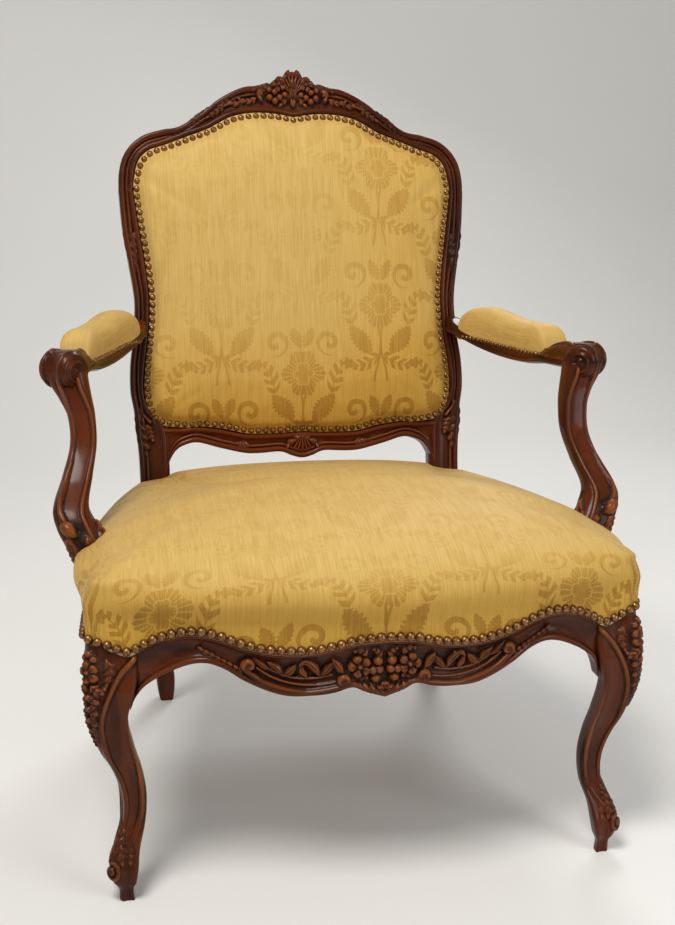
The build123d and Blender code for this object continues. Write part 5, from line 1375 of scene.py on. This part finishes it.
def blow_up(thing, pressure, cap):
    """Cloth simulation with pressure: points marked `pinned` stay, and none moves further than the cap."""
    mesh = thing.data
    count = len(mesh.vertices)
    start, held = np.empty(count * 3, np.float32), np.empty(count, np.float32)
    mesh.vertices.foreach_get("co", start)
    mesh.attributes["pinned"].data.foreach_get("value", held)
    group = thing.vertex_groups.new(name="held")
    group.add(np.nonzero(held > 0.5)[0].tolist(), 1.0, "REPLACE")
    cloth = thing.modifiers.new("cloth", "CLOTH")
    settings = cloth.settings
    settings.vertex_group_mass = "held"
    settings.use_pressure, settings.uniform_pressure_force = True, pressure
    settings.effector_weights.gravity = 0.0
    settings.tension_stiffness = settings.compression_stiffness = STIFFNESS
    settings.bending_stiffness, settings.quality = 0.6, 5
    cloth.collision_settings.use_collision = False
    cloth.point_cache.frame_start, cloth.point_cache.frame_end = 1, FRAMES
    scene = bpy.context.scene
    for step in range(1, FRAMES + 1):
        scene.frame_set(step)
    shown = thing.evaluated_get(bpy.context.evaluated_depsgraph_get()).data
    end = np.empty(count * 3, np.float32)
    shown.vertices.foreach_get("co", end)
    thing.modifiers.remove(cloth)
    thing.vertex_groups.clear()
    scene.frame_set(1)
    move = (end - start).reshape(-1, 3)
    length = np.linalg.norm(move, axis=1, keepdims=True)
    move *= np.minimum(1, cap / np.maximum(length, 1e-9))
    mesh.vertices.foreach_set("co", (start.reshape(-1, 3) + move).ravel())
    mesh.update()
    return float(np.linalg.norm(move, axis=1).max())


def padded_piece(name, node_names, top, floor, shade_and_figure, pinned, pressure, cap, cloth=None):
    """A cushion in damask, blown up a little, that stands for its CAD cover and stuffing."""
    thing = stuffed_piece(name, top, floor, damask, shade_and_figure, pinned, cloth)
    moved = blow_up(thing, pressure, cap)
    stands_for(thing, "damask", *node_names)
    print(name, len(thing.data.vertices), "moved", round(moved * 1000, 2), "mm")


def sheet_piece(name, node_name, slot, material, flat, over, under, shade_and_figure, cloth=None):
    """A stretched sheet between its two faces; `flat` is its cut outline's grid in millimetres."""
    sheet = stuffed_piece(name, over, under, material, shade_and_figure, np.ones(flat.shape[:2]), cloth)
    stands_for(sheet, slot, node_name)


print("stuffed helpers ready")

# %% [markdown]
# ## Seat
# The seat is a high dome: its cover rises from the nails, swells over the rails, and rolls inwards to a crown
# that lies behind the middle. The table gives, for each square of the grid, the height over the frame, the
# swelling at the sides, and how far front and rear have drawn in. Towards the corners the dome falls and its
# outline grows rounder. At the front corners, spare cloth is folded into small pleats.

# %% Seat
SEAT_REAR, CROWN, SWELL = 270.0, 100.0, 16.5


def seat_plan():
    """The frame's outline from the front's middle to the rear's middle, with its shares of the rim."""
    x = np.linspace(0, 0.945 * SEAT_HALF, 60)
    front = np.column_stack([x, -front_reach_at(x), x / SEAT_HALF / 8])
    corner = [(0.985 * SEAT_HALF, -front_reach_at(SEAT_HALF) + 7, 0.1235),
              (0.997 * SEAT_HALF, -CORNER_REACH - 16, 0.127), (SEAT_HALF, -CORNER_REACH - 7, 0.1295)]
    y = np.linspace(-CORNER_REACH + 10, BACK_REACH - 6, 60)
    share = 1 / 8 + (y + CORNER_REACH) / (BACK_REACH + CORNER_REACH) / 4
    side = np.column_stack([side_half_at(y), y, share])
    rear = [(228, 238, 0.374), (212, 250, 0.381), (207, 264, 0.388), (199, 269, 0.395),
            (125, SEAT_REAR, 0.4375), (0, SEAT_REAR, 0.5)]
    return np.concatenate([front, corner, side, rear])


def whole_outline(half):
    """A half outline with its shares of the rim, and its mirror image after it."""
    return np.concatenate([half, half[1:-1][::-1] * (-1, 1, -1) + (0, 0, 1)])


plan = whole_outline(seat_plan())

#                  square, height, swelling, front, rear
seat_table = np.array([
    (1.0, -0.2, 0.0, 1.0, 1.0), (0.943, 0.0, 0.12, 1.0, 1.0), (0.923, 0.07, 0.50, 1.012, 1.0),
    (0.878, 0.25, 1.02, 1.031, 0.985), (0.836, 0.42, 0.75, 1.018, 0.955), (0.777, 0.58, -1.0, 0.965, 0.80),
    (0.706, 0.74, -3.3, 0.85, 0.47), (0.63, 0.86, -6.0, 0.73, 0.25), (0.519, 0.945, -10.2, 0.56, 0.05),
    (0.315, 1.0, -18.0, 0.36, -0.10), (0.12, 1.024, -25.6, 0.262, -0.215),
    (0.0, 1.027, -30.09, 0.21, -0.2613)])
SIDE_FALL, REAR_FALL, FRONT_FALL = 10.0, 0.15, 0.08
CORNER_PLACE, REAR_CORNER_PLACE, REAR_NAILS, SEAT_SKIN = 0.1265, 0.385, 0.936, 1.6
a, b, square = square_grid(121)
rim_place = edge_place(a, b)
on_plan = on_outline(plan[:, :2], plan[:, 2], rim_place)
half_way = np.minimum(rim_place, 1 - rim_place)
corner, rear_corner = np.abs(half_way - CORNER_PLACE), np.abs(half_way - REAR_CORNER_PLACE)


def seat_surface(inside=0.0):
    """Points of the dome; `inside` draws the outline in by so many millimetres."""
    rows = smooth(seat_table, square)
    if inside:
        rows = np.minimum(rows, (9, 0, 0.99, 0.99))
    tight = 1 - 0.92 * np.exp(-(corner / 0.024)**2)
    swell = np.where(rows[..., 1] > 0, SWELL * tight, 11.0) * rows[..., 1]
    rounder = 8.0 * np.exp(-(corner / 0.04)**2) + 13.0 * np.exp(-(rear_corner / 0.035)**2)
    rounder *= np.clip((0.90 - square) / 0.06, 0, 1) * np.clip(square / 0.5, 0, 1)
    scale = (SEAT_HALF + swell - inside - rounder) / SEAT_HALF
    whole = FRONT_REACH + SEAT_REAR
    share = (on_plan[..., 1] + FRONT_REACH) / whole
    front = 1 + (rows[..., 2] - 1) * np.where(rows[..., 2] > 1, tight, 1)
    front, rear = -FRONT_REACH * front + inside, SEAT_REAR * rows[..., 3] - inside
    x, y = on_plan[..., 0] * scale, front + (rear - front) * share
    nails = np.where(half_way > 1 / 8, SEAT_TOP * smooth(side_edges, side_share(on_plan[..., 1]))[..., 0],
                     nail_height_at(on_plan[..., 0]))
    nails = np.where(half_way > 3 / 8, SEAT_TOP * REAR_NAILS, nails)
    skirt = np.clip((square - 0.943) / 0.057, 0, 1)
    outer, rearward = (np.maximum(way, 0) / np.maximum(square, 1e-6) for way in (np.abs(a), b))
    fall = REAR_FALL * outer**2 * rearward**1.5 + FRONT_FALL * np.exp(-(corner / 0.04)**2)
    fall = 1 - fall * np.clip(square / 0.75, 0, 1)**2
    z = SEAT_TOP + CROWN * rows[..., 0] * fall * (skirt == 0) + (nails - 4.2 - SEAT_TOP) * skirt
    z -= SIDE_FALL * outer**3 * np.clip((0.90 - square) / 0.25, 0, 1) * np.clip(square / 0.55, 0, 1)**2
    return np.stack([x, y, z], -1)


seat_top = seat_surface()
pleat_tall = np.clip((398 - seat_top[..., 2]) / 26, 0, 1) * np.clip((seat_top[..., 2] - 318) / 8, 0, 1)
folds = np.sin((rim_place - 1 + CORNER_PLACE) * 2 * np.pi / 0.0075)
pleats = folds * np.exp(-(corner / 0.0085)**2) * pleat_tall
outward = seat_top - (0, -60, 0)
outward[..., 2] = 0
outward /= np.linalg.norm(outward, axis=-1, keepdims=True)
seat_top += outward * (1.7 * pleats)[..., None]
seat_floor = seat_surface(SEAT_SKIN)
seat_floor[..., 2] = np.minimum(seat_floor[..., 2] - 1.4 * (square < 0.93), 350.0)
# Painted shade and sheen: the cover is deep gold with a strong figure low on its front and sides and towards
# the rear, and pale, as painted sheen, on the high top.
strong = np.clip((404 - seat_top[..., 2]) / 46, 0, 1) + 0.30 * np.clip((seat_top[..., 1] - 60) / 110, 0, 1)
shade_and_figure = 0.12 + 0.88 * np.clip(strong, 0, 1)
sideways = np.clip(0.5 + (half_way - 0.125) / 0.012, 0, 1) * np.clip(0.5 - (half_way - 0.382) / 0.012, 0, 1)
fallen = 1.12 * np.maximum(428 - seat_top[..., 2], 0)
thread_x = seat_top[..., 0] + np.sign(seat_top[..., 0]) * fallen * sideways
thread_y = seat_top[..., 1] + np.where(half_way < 0.25, -1, 1) * fallen * (1 - sideways)
padded_piece("seat", ("seat_cover", "seat_stuffing"), seat_top, seat_floor, shade_and_figure,
             (square > 0.93).astype(float), 2.4, 0.004, np.stack([thread_x, thread_y], -1) / 1000)

# %% [markdown]
# ## Inside of the back
# The back's cover is stretched over a flat pad, so its cloth map is just the places across and up the back.
# It leaves the nails steeply, rounds over within a few centimetres and is nearly flat in the middle.

# %% Back pad
PANEL_MIDDLE, PANEL_HALF = 0.556 * BACK_RISE, 0.352 * BACK_RISE


def panel_half():
    """The wood's inner edge from the bottom's middle to the top's middle, with its shares of the rim."""
    bottom = rail_table[::-1][:-4, [0, 2]] * (OPENING_HALF, BACK_RISE)
    corner = np.array([(0.827 * BACK_HALF, 0.2312 * BACK_RISE), (0.884 * BACK_HALF, 0.2525 * BACK_RISE)])
    side = stile_table[5:, [2, 0]] * (BACK_HALF, BACK_RISE)
    top = crest_table[1:, [2, 3]] * (BACK_HALF, BACK_RISE)
    points = curve(np.concatenate([bottom, corner, side, top]), 8)
    x, y = points.T
    low, high = 172.0, 546.0
    share = np.where(y < low, x / 233 / 8, 1 / 8 + (y - low) / (high - low) / 4)
    share = np.where(y > high, 1 / 2 - x / 234 / 8, share)
    share = np.maximum.accumulate(np.clip(share, 0, 0.5))
    share += np.linspace(0, 1e-6, len(share))
    share[-1] = 0.5
    return np.column_stack([points, share])


panel = whole_outline(panel_half())


def drawn_in(points, inside):
    """The panel's outline drawn in towards its middle, as the CAD model does it."""
    scale = np.array([1 - inside / BACK_HALF, 1 - inside / PANEL_HALF])
    return (points - (0, PANEL_MIDDLE)) * scale + (0, PANEL_MIDDLE)


def panel_places(a, b, square, inside):
    """The grid's places across and up the back, with its rim on the outline drawn in."""
    rim = on_outline(drawn_in(panel[:, :2], inside), panel[:, 2], edge_place(a, b))
    return (rim - (0, PANEL_MIDDLE)) * square[..., None] + (0, PANEL_MIDDLE)


def on_back(flat, forward):
    return back_point(flat[..., 0], flat[..., 1], forward)


back_rise_table = np.array([(0, 0.0), (0.012, 0.3), (0.034, 1.4), (0.043, 4.6), (0.056, 9.2), (0.08, 14.9),
                            (0.13, 20.2), (0.22, 23.8), (0.38, 25.8), (0.62, 26.8), (1.0, 27.3)])
a, b, square = square_grid(111)
flat = panel_places(a, b, square, 1.2)
rise = smooth(back_rise_table, 1 - square)[..., 0]
back_floor = on_back(flat, np.where(square > 0.955, -3.8, np.minimum(rise - 3.8, -3.2)))
# Painted shade: the back's cover turns deep gold with a stronger figure towards its bottom and its right
# side, and stays pale, as painted sheen, towards the top left.
low_right = np.clip((330 - flat[..., 1]) / 150, 0, 1) + 0.55 * np.clip((flat[..., 0] - 10) / 150, 0, 1)
shade_and_figure = 0.10 + 0.80 * np.clip(low_right, 0, 1)
padded_piece("back_inside", ("inside_back_cover", "back_stuffing"), on_back(flat, rise - 2.4), back_floor,
             shade_and_figure, (square > 0.93).astype(float), 1.6, 0.003, flat / 1000)

# %% [markdown]
# ## Outside of the back
# Behind, one sheet of the same cloth is stretched flat over the frame and nailed near its edge.

# %% Outside cover
a, b, square = square_grid(61)
flat = panel_places(a, b, square, -16.0)
swell = 8.0 * (1 - square**2.6)
outer, inner = on_back(flat, -FRAME_DEEP - 1.3 - swell), on_back(flat, -FRAME_DEEP - 0.2 - swell)
sheet_piece("back_outside", "outside_back_cover", "damask", damask, flat, outer, inner,
            np.full(square.shape, 0.45), flat / 1000)

# %% [markdown]
# ## Webbing and canvas
# Jute strips are stretched over the frame, over and under each other, and coarse canvas lies on them: once
# under the seat's stuffing, where they show from below, and once inside the back. Each strip's height goes
# up or down by half its thickness at one crossing after another, and comes back to the middle at its ends.

# %% Webbing and canvas
STRIP_WIDE, STRIP_THICK, STRIP_STEP, STRIP_INSET, CLEAR = 50.0, 1.2, 74.0, 9.0, 0.1
WEB_LEVEL, WEB_DEPTH = SEAT_TOP + STRIP_THICK + CLEAR, -6.5
CANVAS_LEVEL, CANVAS_DEPTH = SEAT_TOP + 2 * STRIP_THICK + 0.7, -4.9
columns = STRIP_STEP * np.arange(-2, 3)


def web_strip(name, node_name, ends, at, crossings, first, place):
    """A strip between its ends, at its own place in the row; `place` gives points along, across and up."""
    spots = np.linspace(*ends, 90)
    rise = (STRIP_THICK / 2 + CLEAR) * first * (-1.0)**np.arange(len(crossings))
    knots = np.ravel([(c - 20, c + 20) for c in crossings])
    height = np.interp(spots, np.concatenate([ends[:1], knots, ends[1:]]), np.pad(np.repeat(rise, 2), 1))
    corners = ((-1, -1), (1, -1), (1, 1), (-1, 1))
    rings = np.stack([place(spots, at + side * STRIP_WIDE / 2, height + low * STRIP_THICK / 2)
                      for side, low in corners], 1)
    thing = stands_for(closed_piece(name, rings, jute), "webbing", node_name)


def over_seat(x, y, height):
    return np.stack(np.broadcast_arrays(x, y, WEB_LEVEL + height), -1)


def over_back(x, up, height):
    return back_point(x, up, WEB_DEPTH + height)


seat_rows = -0.338 * FRONT_REACH + np.append(-1.25 * STRIP_WIDE, STRIP_STEP * (np.arange(4) + 0.72))
for k, x in enumerate(columns):
    front = float(STRIP_INSET - front_reach_at(abs(x) + STRIP_WIDE / 2))
    web_strip(f"seat_web_long_{k + 1}", "seat_webbing_long", (front, SEAT_REAR - STRIP_INSET - 2), x,
              seat_rows, (-1)**k, lambda y, x, height: over_seat(x, y, height))
for k, y in enumerate(seat_rows):
    reach = float(min(side_half_at(y - 25), side_half_at(y + 25))) - STRIP_INSET
    web_strip(f"seat_web_cross_{k + 1}", "seat_webbing_cross", (-reach, reach), y,
              columns, -(-1)**k, over_seat)

a, b, square = square_grid(41)
flat = on_outline(plan[:, :2], plan[:, 2], edge_place(a, b)) * (square * 0.915)[..., None]
over, under = (np.dstack([flat, np.full(square.shape, CANVAS_LEVEL + up)]) for up in (0.9, 0.0))
sheet_piece("seat_canvas_sheet", "seat_canvas", "canvas", hessian, flat, over, under, 0 * square)

inner_panel = drawn_in(panel[:, :2], STRIP_INSET)
back_rows = PANEL_MIDDLE + columns
for k, x in enumerate(columns):
    near = inner_panel[np.abs(inner_panel[:, 0] - x) < STRIP_WIDE / 2 + 6, 1]
    ends = (float(near[near < PANEL_MIDDLE].max()), float(near[near > PANEL_MIDDLE].min()))
    web_strip(f"back_web_long_{k + 1}", "back_webbing_long", ends, x, back_rows, (-1)**k,
              lambda v, x, height: over_back(x, v, height))
for k, v in enumerate(back_rows):
    near = np.abs(inner_panel[np.abs(inner_panel[:, 1] - v) < STRIP_WIDE / 2 + 6, 0])
    reach = float(near[near > 150].min())
    web_strip(f"back_web_cross_{k + 1}", "back_webbing_cross", (-reach, reach), v, columns, -(-1)**k,
              over_back)
flat = panel_places(a, b, square, STRIP_INSET)
sheet_piece("back_canvas_sheet", "back_canvas", "canvas", hessian, flat, on_back(flat, CANVAS_DEPTH + 0.8),
            on_back(flat, CANVAS_DEPTH), 0 * square)

# %% [markdown]
# ## Arm pads
# Each arm has a short saddle of stuffing, high at its middle and round at both ends. Across it, the height is
# one minus a power of the distance from the middle, and along it the width and the rise follow a table.

# %% Arm pads
pad_table = np.array([
    (-0.02, 0.62, 0.0), (0.0, 0.74, 0.25), (0.035, 0.92, 0.66), (0.12, 1.0, 0.93), (0.28, 1.0, 1.0),
    (0.5, 1.0, 0.86), (0.72, 1.0, 0.80), (0.86, 1.0, 0.82), (0.93, 0.96, 0.72), (0.975, 0.88, 0.48),
    (1.0, 0.78, 0.2), (1.02, 0.68, 0.0)])
neck_table = np.array([(1.077, 1.042, 0.8, 1.728), (0.862, 1.14, 1.0, 1.728), (0.647, 1.22, 1.02, 1.72),
                       (0.431, 1.292, 1.02, 1.714), (0.267, 1.331, 1.0, 1.716)])
neck_table = neck_table * (BACK_REACH, REAR_HALF, 21.5, SEAT_TOP)
PAD_START, PAD_END, PAD_CROWN, PAD_FOOT, PAD_HALF, BULGE = 250.0, 62.0, 36.0, 13.5, 22.9, 1.72
a, b, square = square_grid(61)
along = (1 - b) / 2 * 1.04 - 0.02
pad_rows = smooth(pad_table, along)
pad_y = PAD_START - (PAD_START - PAD_END) * along
neck = smooth(neck_table, pad_y)
pad_x = neck[..., 0] + PAD_HALF * pad_rows[..., 0] * np.sin(BULGE * a) / np.sin(BULGE)
lift = np.clip(1 - np.abs(a)**2.3, 0, 1)
foot = neck[..., 2] - PAD_FOOT
pad_rise = (PAD_CROWN * pad_rows[..., 1] + PAD_FOOT + 1.2) * lift**0.56
pad_z = foot + pad_rise * np.where((along < 0) | (along > 1), 0.6, 1)
pad_top = np.stack([pad_x, pad_y, pad_z], -1)
pad_floor = np.stack([neck[..., 0] + (pad_x - neck[..., 0]) * 0.95,
                      PAD_START + (pad_y - PAD_START) * 0.99 - 1,
                      np.minimum(pad_z - 1.0, foot + 0.6)], -1)
# Painted shade: each pad's cover turns deeper gold, with a stronger figure, towards its outer side, and is
# pale, as painted sheen, on the rest.
for side, hand in SIDES:
    padded_piece("arm_pad_cloth_" + side, ("arm_pad_" + side, "arm_cover_" + side), pad_top * (hand, 1, 1),
                 pad_floor * (hand, 1, 1), 0.12 + 0.5 * np.clip(a, 0, 1), (square > 0.9).astype(float),
                 2.0, 0.0015)

# %% [markdown]
# ## Rows of nails
# About six hundred round-headed nails hold the cloth. One head is a small dome of five rings, and a whole
# row is one mesh: places at even steps along the row's line, each with its own outward direction. A seeded
# lean and size keep them from looking machine-set. Under the rows along the seat's front and sides, the
# cloth's pale cut edge peeps out.

# %% Nails
def even_places(line, pitch, closed):
    """Places at even steps along a line, and the line's direction at each."""
    line = np.concatenate([line, line[:1]]) if closed else line
    steps = np.linalg.norm(np.diff(line, axis=0), axis=1)
    way = np.concatenate([[0], np.cumsum(steps)])
    count = int(round(way[-1] / pitch))
    spots = way[-1] * np.arange(count if closed else count + 1) / count
    places = np.stack([np.interp(spots, way, line[:, k]) for k in range(3)], -1)
    ahead = np.stack([np.interp(np.minimum(spots + 1, way[-1]), way, line[:, k]) for k in range(3)], -1)
    before = np.stack([np.interp(np.maximum(spots - 1, 0), way, line[:, k]) for k in range(3)], -1)
    along = ahead - before
    return places, along / np.linalg.norm(along, axis=1, keepdims=True)


def unit(vectors):
    return vectors / np.linalg.norm(vectors, axis=-1, keepdims=True)


HEAD_PROFILE = np.array([(1.0, -0.10), (1.0, 0.08), (0.90, 0.46), (0.68, 0.78), (0.36, 0.96)])
HEAD_SIDES, PITCH = 9, 11.4


def nail_row(name, node_name, line, outward, pitch, radius, rise, seed, closed=False):
    """Domed heads along a line; outward gives their direction from the line's own."""
    places, along = even_places(line, pitch, closed)
    chance = np.random.default_rng(seed)
    out = outward(along)
    across = unit(np.cross(out, along))
    lean = along * chance.normal(0, 0.05, (len(out), 1)) + across * chance.normal(0, 0.05, (len(out), 1))
    out = unit(out + lean)
    along = unit(np.cross(across, out))
    across = np.cross(out, along)
    size = radius * chance.uniform(0.96, 1.03, len(out))
    turn = 2 * np.pi * np.arange(HEAD_SIDES) / HEAD_SIDES
    about = np.cos(turn)[:, None] * along[:, None] + np.sin(turn)[:, None] * across[:, None]
    wide, tall = HEAD_PROFILE[:, :1, None] * size[:, None, None, None], HEAD_PROFILE[:, 1:, None] * rise
    rings = places[:, None, None] + wide * about[:, None] + tall * out[:, None, None]
    count, per_head = len(places), len(HEAD_PROFILE) * HEAD_SIDES
    tops, feet = places + out * rise, places + out * rise * HEAD_PROFILE[0, 1]
    points = np.concatenate([rings.reshape(-1, 3), tops, feet])
    k = np.arange(count * per_head).reshape(count, len(HEAD_PROFILE), HEAD_SIDES)
    after = np.roll(k, -1, axis=2)
    quads = np.stack([k[:, :-1], after[:, :-1], after[:, 1:], k[:, 1:]], -1).reshape(-1, 4)
    top = np.broadcast_to((count * per_head + np.arange(count))[:, None], (count, HEAD_SIDES))
    fans = np.concatenate([np.stack([k[:, -1], after[:, -1], top], -1).reshape(-1, 3),
                           np.stack([after[:, 0], k[:, 0], top + count], -1).reshape(-1, 3)])
    stands_for(object_from(name, points, quads, fans, nail_bronze), "nail_brass", node_name)
    return count


def level_outward(along):
    return unit(np.stack([along[:, 1], -along[:, 0], 0 * along[:, 0]], -1))


def selvage(name, line):
    """A thin strip of pale cut cloth that peeps out a little below a row of nails."""
    out = level_outward(unit(np.gradient(line, axis=0)))
    corners = [(0.9, 2.2), (0.9, 5.8), (-0.4, 5.8), (-0.4, 2.2)]
    rings = np.stack([line + out * forward - (0, 0, below) for forward, below in corners], 1)
    stands_for(closed_piece(name, rings, selvage_cloth), "canvas")


def seat_nails(side, line, seed):
    """A row along the seat's lower edge, with the cut cloth under it."""
    count = nail_row("nails_" + side, "seat_nails_" + side, line, level_outward, PITCH, 5.7, 5.6, seed)
    selvage("edge_" + side, line[2:-2])
    return count


selvage_cloth = woven_material("selvage_cloth", (0.62, 0.46, 0.32), (0.40, 0.27, 0.17), 0.0012)
x = np.linspace(0, 0.945 * SEAT_HALF, 90)
right = np.column_stack([x, -front_reach_at(x) - 0.4, nail_height_at(x)])
turned_corner = (0.985 * SEAT_HALF, -front_reach_at(SEAT_HALF) + 6.6, SEAT_TOP * 0.932)
right = np.concatenate([right, [turned_corner]])
front_line = np.concatenate([right[1:][::-1] * (-1, 1, 1), right])
heads = seat_nails("front", front_line, 1)

y = np.linspace(-CORNER_REACH - 7, BACK_REACH - 5.7, 80)
side_line = np.column_stack([side_half_at(y) + 0.4, y, SEAT_TOP * smooth(side_edges, side_share(y))[:, 0]])
for seed, (side, hand) in enumerate(SIDES, 2):
    heads += seat_nails(side, (side_line * (hand, 1, 1))[::hand], seed)
x = np.linspace(195, -195, 40)
rear_line = np.column_stack([x, np.full(40, SEAT_REAR + 0.2), np.full(40, SEAT_TOP * REAR_NAILS)])
heads += nail_row("nails_rear", "seat_nails_rear", rear_line, level_outward, PITCH, 5.6, 5.0, 4)

FORWARD = np.array([0, -np.cos(LEAN), np.sin(LEAN)])
inside_line = on_back(drawn_in(panel[:, :2], 6.2), -2.2)
outside_line = on_back(drawn_in(panel[:, :2], -9.8), -FRAME_DEEP - 1.4)
heads += nail_row("nails_back_inside", "inside_back_nails", inside_line,
                  lambda along: np.tile(FORWARD, (len(along), 1)), PITCH, 4.9, 4.4, 5, closed=True)
heads += nail_row("nails_back_outside", "outside_back_nails", outside_line,
                  lambda along: np.tile(-FORWARD, (len(along), 1)), PITCH, 5.0, 4.2, 6, closed=True)
print("nail heads so far", heads)

# %% [markdown]
# ### Nails on the arms
# The arms have smaller nails, in a closed row round the foot of each pad.

# %% Arm nails
arm_nail_table = np.array([(0, 0), (0, 0.5), (0.012, 0.84), (0.06, 0.955), (0.2, 1.0), (0.5, 1.0), (0.8, 1.0),
                           (0.94, 0.96), (0.988, 0.88), (1, 0.5), (1, 0)])
points = curve(arm_nail_table, 8)
nail_y = PAD_START - (PAD_START - PAD_END) * np.clip(points[:, 0], 0, 1)
neck = smooth(neck_table, nail_y)
nail_y = nail_y + 1.4 * (1 - 2 * points[:, 0])
outer, inner = (np.column_stack([neck[:, 0] + hand * PAD_HALF * points[:, 1], nail_y,
                                 neck[:, 2] - PAD_FOOT + 3.2]) for hand in (1, -1))
arm_line = np.concatenate([outer, inner[1:-1][::-1]])
for seed, (side, hand) in enumerate(SIDES, 7):
    line = (arm_line * (hand, 1, 1))[::-hand]
    heads += nail_row("nails_arm_" + side, "arm_nails_" + side, line, level_outward,
                      8.6, 3.7, 3.2, seed, closed=True)
print("nail heads", heads)

# %% [markdown]
# ## Floor and light
# The chair stands on a plain pale floor that rises behind it in a wide curve. The floor's own colour gives
# the pale background.

# %% Floor
floor_rows = np.array([(-3.2, 0.0), (-1.6, 0.0), (0.0, 0.0), (1.6, 0.0), (2.3, 0.06), (2.8, 0.35), (3.1, 0.9),
                       (3.2, 1.8), (3.2, 3.4)])
floor_line = curve(floor_rows, 6)
wide = np.linspace(-4, 4, 12)
k = np.arange(len(floor_line) * len(wide)).reshape(len(floor_line), len(wide))
columns_of = np.broadcast_arrays(wide, floor_line[:, :1], np.maximum(floor_line[:, 1:], 0))
points = np.stack(columns_of, -1).reshape(-1, 3)
faces = np.stack([k[:-1, :-1], k[:-1, 1:], k[1:, 1:], k[1:, :-1]], -1).reshape(-1, 4)
floor_mesh = bpy.data.meshes.new("floor")
floor_mesh.from_pydata(points.tolist(), [], faces.tolist())
floor_mesh.shade_smooth()
floor = bpy.data.objects.new("floor", floor_mesh)
bpy.context.scene.collection.objects.link(floor)
floor_paper, tree, shader = new_material("floor_paper")
cloud = noise(tree, object_place(tree), 1.2, 2.0)
pale = mix_colours(tree, cloud, (0.78, 0.775, 0.76, 1), (0.84, 0.835, 0.82, 1))
tree.links.new(pale, shader.inputs["Base Color"])
set_inputs(shader, Roughness=0.9)
floor_mesh.materials.append(floor_paper)
print("floor", len(points))

# %% [markdown]
# ### Lamps
# A broad soft lamp above and to the left of the camera is the main light. A weaker one on the right opens the
# shadows, one behind the chair lights its edges, and the world adds an even grey.

# %% Lamps
def lamp(name, place, target, size, power, colour=(1, 1, 1)):
    data = bpy.data.lights.new(name, "AREA")
    data.shape, data.size, data.energy, data.color = "DISK", size, power, colour
    thing = bpy.data.objects.new(name, data)
    thing.location = place
    direction = Vector(target) - Vector(place)
    thing.rotation_euler = direction.to_track_quat("-Z", "Y").to_euler()
    bpy.context.scene.collection.objects.link(thing)


lamp("main_lamp", (-0.9, -1.15, 2.95), (0, 0, 0.45), 1.2, 64, (1.0, 0.97, 0.92))
lamp("right_lamp", (1.7, -2.0, 1.3), (0, 0, 0.4), 1.4, 20, (0.96, 0.98, 1.0))
lamp("rear_lamp", (0.9, 2.0, 2.4), (0, 0, 0.6), 1.0, 26)
world = bpy.data.worlds.new("studio")
world.use_nodes = True
set_inputs(world.node_tree.nodes["Background"], Color=(0.90, 0.885, 0.86, 1), Strength=0.36)
bpy.context.scene.world = world
bpy.context.scene.view_settings.view_transform = "Standard"
